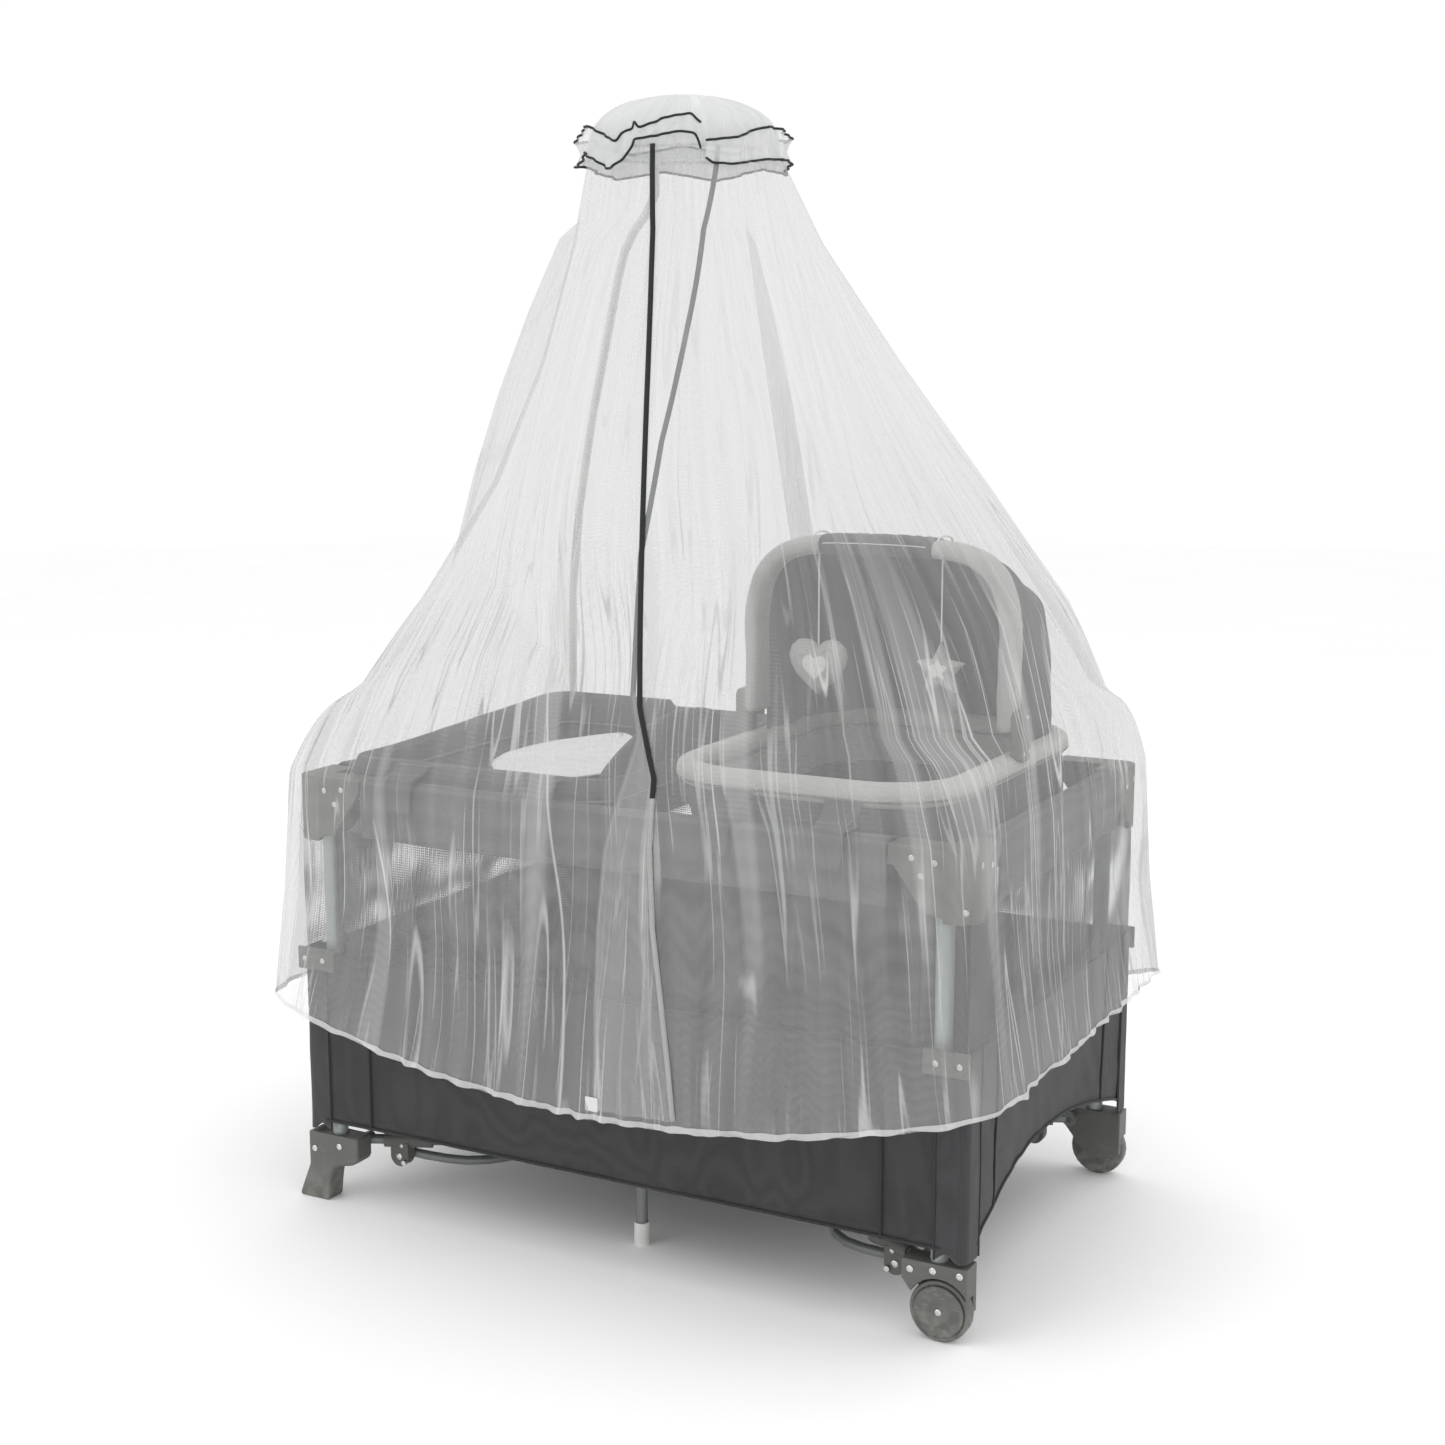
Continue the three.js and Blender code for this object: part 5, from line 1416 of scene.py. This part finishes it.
@dataclass
class Hood:
    """The folding hood: a padded arch, a band across its top and a shade down to the bassinet's rear."""

    shop: Workshop
    middle: float = 0.292
    half: float = 0.226
    pivot: float = 0.8653
    shoulder: float = 1.040
    top: float = 1.158
    base: float = 0.828
    half_y: float = 0.336

    def build(self) -> None:
        """Builds the arch and its shade."""
        arch = self._arch()
        self._band("arch_padding", arch, 0.0, 1.0, 0.030, 0.0155, Palette.ARCH, "trim_cloth")
        self._band("arch_top_band", arch, 0.432, 0.568, 0.0318, 0.0172, Palette.HOOD_TOP, "inner_cloth")
        points = [self._on_band(arch, 0.440 + 0.12 * i / 30, -0.0318, 0.0035) for i in range(31)]
        self.shop.add(tube("top_stitch", points, 0.0009, 1), Palette.RIBBON, Body.HOOD, "string")
        self._shade()

    def _arch(self) -> list[Vector]:
        """Returns the arch's middle line in finer steps."""
        knots = [(self.half, self.pivot), (self.half, 0.95), (self.half, self.shoulder), (self.half - 0.022, self.top - 0.046),
                 (self.half - 0.084, self.top - 0.008), (0.0, self.top)]
        knots += [(-x, z) for x, z in reversed(knots[:-1])]
        points = []
        for i in range(len(knots) - 1):
            a, b, c, d = (knots[min(max(i + k, 0), len(knots) - 1)] for k in (-1, 0, 1, 2))
            for j in range(12):
                t = j / 12
                x, z = (0.5 * (2 * b[k] + (c[k] - a[k]) * t + (2 * a[k] - 5 * b[k] + 4 * c[k] - d[k]) * t * t
                               + (3 * b[k] - a[k] - 3 * c[k] + d[k]) * t ** 3) for k in (0, 1))
                points.append(Vector((self.middle + x, 0.0, z)))
        points.append(Vector((self.middle - self.half, 0.0, self.pivot)))
        return points

    def _spot(self, arch: list[Vector], v: float) -> tuple[Vector, Vector]:
        """Returns a point on the arch and the direction outwards from it."""
        spot = max(0.0, min(v, 1.0)) * (len(arch) - 1)
        k = min(int(spot), len(arch) - 2)
        at = arch[k].lerp(arch[k + 1], spot - k)
        along = (arch[min(k + 2, len(arch) - 1)] - arch[max(k - 1, 0)]).normalized()
        return at, Vector((along.z, 0.0, -along.x)) * (1 if along.x < 0 or along.z > 0 or True else -1)

    def _on_band(self, arch: list[Vector], v: float, y: float, rise: float) -> Vector:
        """Returns a point on the outside of the padding."""
        at, out = self._spot(arch, v)
        return at + out * rise + Vector((0, y, 0))

    def _band(self, name: str, arch: list[Vector], start: float, end: float, wide: float, deep: float,
              finish: Palette, slot: str) -> None:
        """Builds a flat padded tube round a stretch of the arch."""

        def rule(u: float, v: float) -> Vector:
            """Round the flattened tube and along the arch, closed at both ends."""
            at, out = self._spot(arch, start + (end - start) * v)
            edge = min(v, 1 - v) / 0.02
            small = math.sqrt(max(1 - (1 - min(edge, 1.0)) ** 2, 0.0)) if edge < 1 else 1.0
            a = 2 * math.pi * u
            c, s = math.cos(a), math.sin(a)
            across = wide * math.copysign(abs(c) ** 0.75, c) * (0.55 + 0.45 * small) * (small if edge < 0.3 else 1)
            lift = deep * math.copysign(abs(s) ** 0.85, s) * small
            bump = 0.0016 * noise.noise(Vector((a * 0.6, v * 22, 3.0 if wide > 0.031 else 1.0)))
            return at + out * (lift + bump * s) + Vector((0, across + bump * c, 0))

        bm = closed_up(sheet_mesh(28, 140, rule, (0.15, 1.0)))
        piece = finished(bm, name, 70.0)
        self.shop.add(piece, finish, Body.HOOD, slot, ("hood_bow",) if name == "arch_padding" else ())

    def _shade(self) -> None:
        """Builds the shade from the arch back to the bassinet's rim; it is left on no body."""
        arch = self._arch()
        feet = [Vector((self.middle + s * self.half, 0.0, self.base)) for s in (1, -1)]
        arch = [feet[0], feet[0].lerp(arch[0], 0.5), *arch, feet[1].lerp(arch[-1], 0.5), feet[1]]

        def rule(u: float, v: float) -> Vector:
            """Across the arch and back to the rim."""
            y = 0.026 + 0.304 * math.sin(0.5 * math.pi * v)
            at, out = self._spot(arch, u)
            rise = max(math.cos(0.5 * math.pi * v), 0.0)
            bend = min(max(y - 0.202, 0.0), 0.1164)
            narrow = (0.110 + math.sqrt(0.0144 - bend * bend)) / 0.230
            at = at - out * 0.004
            x = self.middle + (at.x - self.middle) * narrow
            z = self.base + (at.z - self.base) * rise
            bump = ripple(Vector((x, y, z)), 0.07, 0.006, 5.0) + ripple(Vector((x * 0.5, y, z * 0.5)), 0.03, 0.003, 6.0)
            fold = 0.006 * math.sin(v * 15.0 + 2.0 * u) * math.sin(math.pi * v)
            return Vector((x + out.x * (bump - abs(fold)), y, max(z, self.base) + out.z * (bump - abs(fold))))

        bm = sheet_mesh(110, 60, rule, (1.0, 0.45))
        shade = finished(bm, "hood_shade")
        if sum((p.center - Vector((self.middle, 0.1, 0.95))).dot(p.normal) for p in shade.data.polygons) < 0:
            shade.data.flip_normals()
        thickened(shade, 0.002, -1.0)
        self.shop.dress(shade, Palette.HOOD_IN, "inner_cloth")
        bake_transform(shade)
        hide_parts("hood_cover")
        self.shop.made.append(shade.name)


# ---- Changing tray ------------------------------------------------------------------------------------


@dataclass
class Changer:
    """The changing tray: a padded bolster with piping, a raised side and a white mat."""

    shop: Workshop
    middle: float = -0.296
    half_x: float = 0.262
    half_y: float = 0.346
    corner: float = 0.058
    top: float = 0.784
    floor: float = 0.7225

    def build(self) -> None:
        """Builds the tray."""
        basket = Basket(self.middle, self.half_x, self.half_y, self.corner, 200)
        profile = [(0.030, 0.694), (0.012, 0.700), (0.001, 0.730), (-0.002, 0.752), (-0.001, 0.772), (0.008, 0.7885),
                   (0.022, 0.7905), (0.036, 0.783), (0.047, 0.765), (0.054, 0.742), (0.066, 0.727), (0.10, self.floor)]
        bolster = basket.shell("tray_bolster", profile, 0.004, 0.08, 6.0, rows=44)
        for vert in bolster.data.vertices:
            rear = max(0.0, min(1.0, (vert.co.y + 0.2) / 0.5))
            if vert.co.z > 0.765:
                vert.co.z += 0.010 * rear + (0.012 * rear if vert.co.x < self.middle else 0.0)
        self.shop.add(bolster, Palette.TRAY, Body.CHANGER, "inner_cloth", ("changer_frame", "changer_pad"))
        points = loop_path(self.middle, self.half_x + 0.003, self.half_y + 0.003, self.corner + 0.003, 0.7555, 160)
        self.shop.add(tube("tray_piping", points, 0.0028, 2, closed=True), Palette.TRAY_PIPING, Body.CHANGER, "inner_cloth")
        inner = loop_path(self.middle, self.half_x - 0.050, self.half_y - 0.050, 0.03, 0.757, 160)
        self.shop.add(tube("tray_inner_piping", inner, 0.0024, 2, closed=True), Palette.TRAY_PIPING, Body.CHANGER,
                      "inner_cloth")

        def basin(u: float, v: float) -> Vector:
            """The tray's floor, slightly hollow."""
            x, y = (2 * u - 1) * (self.half_x - 0.062), (2 * v - 1) * (self.half_y - 0.062)
            at = Vector((self.middle + x, y, self.floor - 0.001))
            return at + Vector((0, 0, ripple(at, 0.1, 0.0015, 2.0)))

        self.shop.add(finished(sheet_mesh(60, 80, basin, (0.4, 0.57)), "tray_floor"), Palette.TRAY, Body.CHANGER,
                      "inner_cloth")
        self._wing()
        self._mat()
        for side in Side:
            for x in (-0.398, -0.144):
                self._hook(side, x)

    def _wing(self) -> None:
        """Builds the padded flap that stands up beside the bassinet."""

        def rule(u: float, v: float) -> Vector:
            """Round a flat pad that is widest in its middle."""
            y = -0.312 + 0.482 * v
            hump = max(math.sin(math.pi * min(max(v * 0.96 + 0.02, 0), 1)), 0.0) ** 0.55
            top = 0.772 + (0.868 - 0.772) * hump
            low = 0.745
            a = 2 * math.pi * u
            half = (top - low) / 2
            z = (top + low) / 2 + half * math.sin(a)
            thick = 0.0135 * (0.4 + 0.6 * hump)
            x = -0.061 + 0.012 * max(0.0, (z - 0.78) / 0.09) + thick * math.copysign(abs(math.cos(a)) ** 0.7, math.cos(a))
            return Vector((x + ripple(Vector((x, y, z)), 0.05, 0.003, 8.0), y, z))

        bm = sheet_mesh(32, 90, rule, (0.3, 0.5))
        bmesh.ops.remove_doubles(bm, verts=bm.verts, dist=1e-5)
        bmesh.ops.holes_fill(bm, edges=[e for e in bm.edges if e.is_boundary])
        bmesh.ops.recalc_face_normals(bm, faces=bm.faces)
        wing = finished(bm, "tray_wing", 60.0)
        self.shop.add(wing, Palette.TRAY, Body.CHANGER, "inner_cloth")

    def _mat(self) -> None:
        """Builds the white mat, a leaf with pointed ends that dips in its middle."""
        bm = bmesh.new()
        bmesh.ops.create_grid(bm, x_segments=40, y_segments=70, size=0.5)
        for vert in bm.verts:
            a, b = 2 * vert.co.x, 2 * vert.co.y
            half = 0.134 * (1 - abs(b) ** 2.2) ** 0.85 + 0.002
            x = -0.335 + a * half - 0.03 * b
            y = 0.040 + 0.232 * b
            edge = 1 - max(abs(a), 0) ** 8
            z = 0.7285 + 0.006 * edge + 0.010 * (a * a + 0.6 * b * b)
            at = Vector((x, y, z))
            vert.co = at + Vector((0, 0, ripple(at, 0.06, 0.002, 3.0)))
        mat = thickened(finished(bm, "white_mat", 60.0), 0.003, 1.0)
        self.shop.add(mat, Palette.SATIN, Body.CHANGER, "mat_cloth", ("changer_mat",))

    def _hook(self, side: Side, x: float) -> None:
        """Builds the cloth tab over a tray hook."""
        s = side.value
        path = ((0.343, 0.786), (0.356, 0.786), (0.372, 0.7755), (0.386, 0.7735), (0.3965, 0.768), (0.4003, 0.752),
                (0.4000, 0.716))

        def rule(u: float, v: float) -> Vector:
            """Over the rail and down its outside."""
            spot = v * (len(path) - 1)
            k = min(int(spot), len(path) - 2)
            y, z = (path[k][j] + (path[k + 1][j] - path[k][j]) * (spot - k) for j in (0, 1))
            return Vector((x + (2 * u - 1) * (0.034 - 0.008 * v), s * y, z))

        tab = finished(sheet_mesh(14, 36, rule, (0.06, 0.12)), f"tray_tab_{side.name.lower()}_{int(-x * 1000)}")
        if sum(p.normal.y for p in tab.data.polygons) * s < 0:
            tab.data.flip_normals()
        thickened(tab, 0.003, 1.0)
        self.shop.add(tab, Palette.RAIL_PAD, Body.CHANGER, "inner_cloth")


# ---- Net canopy -----------------------------------------------------------------------------------------


@dataclass
class Canopy:
    """The pole, its hoop and the net: dome, frill, drape, bindings and hem."""

    shop: Workshop
    ring_x: float = -0.075
    ring_r: float = 0.136
    ring_z: float = 1.795
    pole: tuple[float, float] = (-0.545, 0.381)
    pole_r: float = 0.008
    room: float = 0.038
    rail: float = 0.760
    hem_front: float = 0.268
    hem_corner: float = 0.380
    flare: float = 0.662
    split: float = 0.27
    around: int = 720
    sections: tuple = ((1.795, -0.232, 0.082, 0.157, 2.0), (1.650, -0.262, 0.158, 0.187, 2.05),
                       (1.450, -0.322, 0.300, 0.237, 2.2), (1.250, -0.400, 0.448, 0.292, 2.6),
                       (1.060, -0.505, 0.572, 0.345, 3.4), (0.900, -0.590, 0.6155, 0.385, 5.0),
                       (0.766, -0.6355, 0.6355, 0.413, 30.0), (0.560, -0.6435, 0.6435, 0.421, 30.0),
                       (0.380, -0.662, 0.662, 0.440, 20.0))
    lean: tuple = ((0.760, 1.0), (0.900, 1.0), (1.010, 0.985), (1.120, 0.93), (1.260, 0.81), (1.400, 0.66),
                   (1.540, 0.48), (1.660, 0.30), (1.735, 0.0))

    def build(self) -> None:
        """Builds the canopy."""
        self._stand()
        self._dome()
        self._drape()
        self._frill()
        self._trims()

    @property
    def pole_angle(self) -> float:
        """The pole's direction from the ring's middle."""
        return math.atan2(self.pole[1], self.pole[0] - self.ring_x)

    def _between(self, table: Sequence[tuple], key: float, down: bool) -> list[float]:
        """Interpolates a table whose first column runs down or up."""
        rows = list(table) if not down else list(reversed(table))
        for a, b in zip(rows, rows[1:]):
            if key <= b[0]:
                t = min(max((key - a[0]) / (b[0] - a[0]), 0.0), 1.0)
                return [p + (q - p) * t for p, q in zip(a, b)]
        return list(rows[-1])

    def _radius(self, angle: float, z: float) -> float:
        """Returns how far the net stands from the ring's axis in a direction at a height."""
        _, x0, x1, half, n = self._between(self.sections, z, True)
        mid, wide = (x0 + x1) / 2, (x1 - x0) / 2
        c, s = math.cos(angle), math.sin(angle)
        low, high = 0.0, 2.0
        for _ in range(22):
            r = (low + high) / 2
            inside = abs((self.ring_x + r * c - mid) / wide) ** n + abs(r * s / half) ** n
            low, high = (r, high) if inside < 1 else (low, r)
        own = (low + high) / 2
        turned = (angle - self.pole_angle + math.pi) % (2 * math.pi) - math.pi
        if abs(turned) < 1 and self.rail < z < 1.735:
            share = self._between(self.lean, z, False)[1]
            end = (self.ring_x + self.ring_r * math.cos(self.pole_angle), self.ring_r * math.sin(self.pole_angle))
            x = end[0] + (self.pole[0] - end[0]) * share - self.ring_x
            y = end[1] + (self.pole[1] - end[1]) * share
            tent = (math.hypot(x, y) + self.room) / (math.cos(turned) + 1.1 * abs(math.sin(turned)))
            own = max(own, tent)
        return own

    def skin(self, angle: float, v: float, out: float = 0.0) -> Vector:
        """Returns a point on the net.

        Args:
            angle: the direction from the ring's axis.
            v: 0 at the hem, the split at the rail and 1 at the ring.
            out: how far outside the net.
        Returns:
            The point.
        """
        if v >= self.split:
            z = nominal = self.rail + (v - self.split) / (1 - self.split) * (self.ring_z - self.rail)
            r = self._radius(angle, z)
        else:
            low = 1 - v / self.split
            nominal = self.rail - low * (self.rail - self.hem_corner)
            r = self._radius(angle, nominal)
            x = self.ring_x + r * math.cos(angle)
            hem = self.hem_front + (self.hem_corner - self.hem_front) * min(abs(x) / self.flare, 1) ** 2
            z = self.rail - low * (self.rail - hem)
        r += out + self._pleat(angle, v)
        return Vector((self.ring_x + r * math.cos(angle), r * math.sin(angle), z))

    def level(self, z: float, x: float = 0.0) -> float:
        """Returns v for a height."""
        if z >= self.rail:
            return self.split + (z - self.rail) / (self.ring_z - self.rail) * (1 - self.split)
        hem = self.hem_front + (self.hem_corner - self.hem_front) * min(abs(x) / self.flare, 1) ** 2
        return self.split * (1 - (self.rail - z) / (self.rail - hem))

    def _pleat(self, angle: float, v: float) -> float:
        """Returns how far the net's folds stand out of its smooth shape."""
        c, s = math.cos(angle), math.sin(angle)
        high = max(0.0, (v - self.split) / (1 - self.split))
        low = max(0.0, 1 - v / self.split)
        fine = noise.noise(Vector((c * 9, s * 9, v * 1.2)))
        broad = noise.noise(Vector((c * 3.6 + 5, s * 3.6, v * 0.9)))
        upper = math.sin(math.pi * min(high * 1.02, 1.0)) ** 0.7 * (0.010 * broad + 0.006 * fine) + 0.003 * high * fine
        lower = low ** 1.3 * (0.010 * (0.5 + noise.noise(Vector((c * 22, s * 22, v * 2)))) + 0.008 * max(broad, 0))
        return upper + lower

    def _angles(self) -> list[float]:
        """Returns directions from the ring's axis that step evenly along the rail."""
        points = loop_path(0.0, 0.640, 0.416, 0.03, 0.0, self.around)
        angles = [math.atan2(p.y, p.x - self.ring_x) for p in points]
        return [*angles, angles[0]]

    def _stand(self) -> None:
        """Builds the pole and its hoop."""
        end = (self.ring_x + self.ring_r * math.cos(self.pole_angle), self.ring_r * math.sin(self.pole_angle))
        node = softened(self.shop.nodes, "net_pole", "pole", 0.0)
        self.shop.add(node, Palette.POLE, Body.CANOPY, "pole_paint")
        ring = softened(self.shop.nodes, "net_ring", "hoop", 0.0005)
        self.shop.add(ring, Palette.POLE, Body.CANOPY, "pole_paint")
        LOG.info("the pole ends at %.3f, %.3f", *end)

    def _dome(self) -> None:
        """Builds the gathered top."""

        def rule(u: float, v: float) -> Vector:
            """Round the hoop and up to the middle."""
            a = 2 * math.pi * u
            lift = 0.5 * math.pi * v
            r = 0.1585 * math.cos(lift) ** 0.9 if v < 1 else 0.0
            fold = 0.004 * math.sin(a * 17 + 2 * math.sin(a * 5)) * math.sin(2 * lift) + 0.0025 * math.sin(a * 41) * (1 - v)
            z = self.ring_z - 0.004 + 0.095 * math.sin(lift) ** 0.8
            r = max(r + fold, 0.0)
            return Vector((self.ring_x + r * math.cos(a), r * math.sin(a), z))

        bm = closed_up(sheet_mesh(220, 30, rule, (1.0, 0.2)))
        dome = finished(bm, "net_dome", 80.0)
        self.shop.add(dome, Palette.DOME, Body.CANOPY, "net")

    def _drape(self) -> None:
        """Builds the long net and its hem."""
        angles = self._angles()

        def rule(u: float, v: float) -> Vector:
            """Round the cot and up from the hem."""
            return self.skin(angles[int(round(u * self.around))], v)

        net = finished(closed_up(sheet_mesh(self.around, 104, rule, (4.35, 1.62))), "net", 80.0)
        self.shop.add(net, Palette.NET, Body.CANOPY, "net", ("net_drape",))

        def hem_rule(u: float, v: float) -> Vector:
            """The band along the net's lower edge, which flutters."""
            a = angles[int(round(u * self.around))]
            wave = 0.003 * math.sin(a * 46 + 3 * math.sin(a * 9)) * (1 - v)
            at = self.skin(a, v * 0.0055, 0.0018 + wave)
            at.z += 0.004 * noise.noise(Vector((math.cos(a) * 30, math.sin(a) * 30, 1.0))) * (1 - v)
            return at

        hem = finished(closed_up(sheet_mesh(self.around, 3, hem_rule, (4.35, 0.01))), "net_hem", 80.0)
        self.shop.add(hem, Palette.HEM, Body.CANOPY, "net")

    def _frill(self) -> None:
        """Builds the ruffled ribbon round the hoop, with dark piping along both edges."""
        upper = ((-49, 1.799), (-32, 1.805), (-19, 1.820), (-8, 1.827), (9, 1.824), (30, 1.812), (60, 1.826), (90, 1.808),
                 (120, 1.824), (150, 1.806), (180, 1.822), (210, 1.810), (230, 1.830), (240, 1.828), (252, 1.810),
                 (262, 1.799), (262.5, 1.811), (271, 1.819), (275, 1.818), (273, 1.833), (288, 1.832), (303, 1.840),
                 (308, 1.826))
        lower = ((-49, 1.772), (-46, 1.765), (-35, 1.763), (-11, 1.775), (16, 1.780), (40, 1.762), (70, 1.780), (100, 1.764),
                 (130, 1.780), (160, 1.763), (190, 1.778), (215, 1.770), (230, 1.791), (244, 1.775), (253, 1.759),
                 (259, 1.759), (267, 1.778), (272, 1.800), (282, 1.805), (298, 1.812), (306, 1.809), (308, 1.786))
        tops = tuple(sorted(upper))
        lows = tuple(sorted(lower))

        def edge(degrees: float, v: float, out: float = 0.0) -> Vector:
            """Round the hoop and up the ribbon."""
            a = math.radians(degrees)
            z0 = self._between(lows, degrees, False)[1]
            z1 = self._between(tops, degrees, False)[1]
            flute = 0.0045 * math.sin(degrees * 0.30 + 1.5 * math.sin(degrees * 0.07)) * abs(2 * v - 1) + 0.003 * math.sin(
                degrees * 0.9) * abs(2 * v - 1)
            r = 0.172 + flute + 0.003 * (2 * v - 1) ** 2 + out
            return Vector((self.ring_x + r * math.cos(a), r * math.sin(a), z0 + (z1 - z0) * v))

        ribbon = finished(sheet_mesh(300, 10, lambda u, v: edge(-49 + 357 * u, v), (1.3, 0.05)), "frill", 80.0)
        self.shop.add(ribbon, Palette.FRILL, Body.CANOPY, "net")
        for v, name in ((0.0, "low"), (1.0, "high")):
            points = [edge(-49 + 357 * i / 240, v) for i in range(241)]
            self.shop.add(tube(f"frill_piping_{name}", points, 0.0021, 2), Palette.BINDING, Body.CANOPY, "net")

    def _trail(self, high: Sequence[tuple[float, float]], low: Sequence[tuple[float, float]]) -> list[tuple[float, float]]:
        """Returns a trim's line as direction and level, from its top down, in fine steps."""
        knots = [(math.radians(a), self.level(z)) for a, z in high]
        for x, z in low:
            v = self.level(z, x)
            y = -self.skin(math.atan2(-0.42, x - self.ring_x), v).y
            knots.append((math.atan2(-y, x - self.ring_x), v))
        fine = []
        for a, b in zip(knots, knots[1:]):
            fine += [(a[0] + (b[0] - a[0]) * i / 10, a[1] + (b[1] - a[1]) * i / 10) for i in range(10)]
        return [*fine, knots[-1]]

    def _trims(self) -> None:
        """Builds the two bindings, the overlap between them and the blank patch."""
        main = self._trail(((-79, 1.795), (-76, 1.660), (-75, 1.550), (-74, 1.393), (-73, 1.236), (-72, 1.080), (-71, 0.926)),
                           ((0.093, 0.821), (0.092, 0.711), (0.099, 0.585), (0.116, 0.474), (0.133, 0.380), (0.145, 0.290)))
        soft = self._trail(((-40, 1.795), (-52, 1.660), (-60, 1.503), (-68, 1.330), (-73, 1.157), (-73, 0.942)),
                           ((0.058, 0.880), (0.034, 0.784), (0.011, 0.702), (0.000, 0.572), (-0.002, 0.457), (0.002, 0.359),
                            (0.001, 0.278)))
        turn = next(i for i, spot in enumerate(main) if spot[1] < self.level(0.80))
        for name, trail, finish, out in (("dark_binding", main[:turn + 1], Palette.BINDING, 0.0035),
                                         ("pale_binding", main[turn:], Palette.PALE_BINDING, 0.0035),
                                         ("grey_binding", soft, Palette.SOFT_BINDING, -0.003)):
            last = len(trail) - 1

            def rule(u: float, v: float, trail: list = trail, out: float = out, last: int = last) -> Vector:
                """Across the tape and down the net."""
                angle, level = trail[int(round(v * last))]
                at = self.skin(angle, level, out)
                across = Vector((-math.sin(angle), math.cos(angle), 0))
                return at + across * ((u - 0.5) * 0.0085)

            tape = finished(sheet_mesh(2, last, rule, (0.0085, 1.7)), name)
            thickened(tape, 0.0012, 0.0)
            self.shop.add(tape, finish, Body.CANOPY, "net")
        count = 40

        def flap(u: float, v: float) -> Vector:
            """Between the two bindings, from below the bassinet's top to the hem."""
            z = 0.95 - (0.95 - 0.29) * v
            ends = []
            for trail in (soft, main):
                near = min(trail, key=lambda p: abs(self.skin(p[0], p[1]).z - z))
                ends.append(near)
            angle = ends[0][0] + (ends[1][0] - ends[0][0]) * u
            level = ends[0][1] + (ends[1][1] - ends[0][1]) * u
            return self.skin(angle, level, 0.002)

        overlap = finished(sheet_mesh(14, count, flap, (0.14, 0.66)), "net_overlap", 80.0)
        self.shop.add(overlap, Palette.FLAP, Body.CANOPY, "net")

        def tag(u: float, v: float) -> Vector:
            """A small blank label."""
            at = self.skin(math.atan2(-0.44, 0.0 - self.ring_x), self.level(0.306))
            return Vector(((u - 0.5) * 0.024, at.y - 0.004, 0.294 + (v - 0.5) * 0.024))

        label = finished(sheet_mesh(6, 6, tag, (0.024, 0.024)), "blank_label")
        thickened(label, 0.0016, 0.0, rounds=2)
        self.shop.add(label, Palette.PATCH, Body.CANOPY, "net")


# ---- Putting it together ----------------------------------------------------------------------------------


def dress_leftovers(shop: Workshop, record: dict) -> None:
    """Gives any node that still shows a finish."""
    for node in ("rail_left", "rail_right"):
        shop.dress(shop.nodes[node], Palette.TUBE)
    LOG.info("%d pieces made for %s", len(shop.made), record.get("type", "the cot"))


def main() -> None:
    """Builds the studio, the cords and then every sub-assembly."""
    logging.basicConfig(level=logging.INFO, format="%(relativeCreated)6d ms %(name)s: %(message)s", stream=sys.stdout)
    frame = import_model()
    Studio().build()
    shop = Workshop(nodes=frame["nodes"], wardrobe=Wardrobe())
    Toys(shop).cords()
    Chassis(shop).build()
    Walls(shop).build()
    Mattress(shop).build()
    Napper(shop).build()
    Hood(shop).build()
    Changer(shop).build()
    Canopy(shop).build()
    dress_leftovers(shop, frame["record"])
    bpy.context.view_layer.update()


if __name__ == "__main__":
    main()
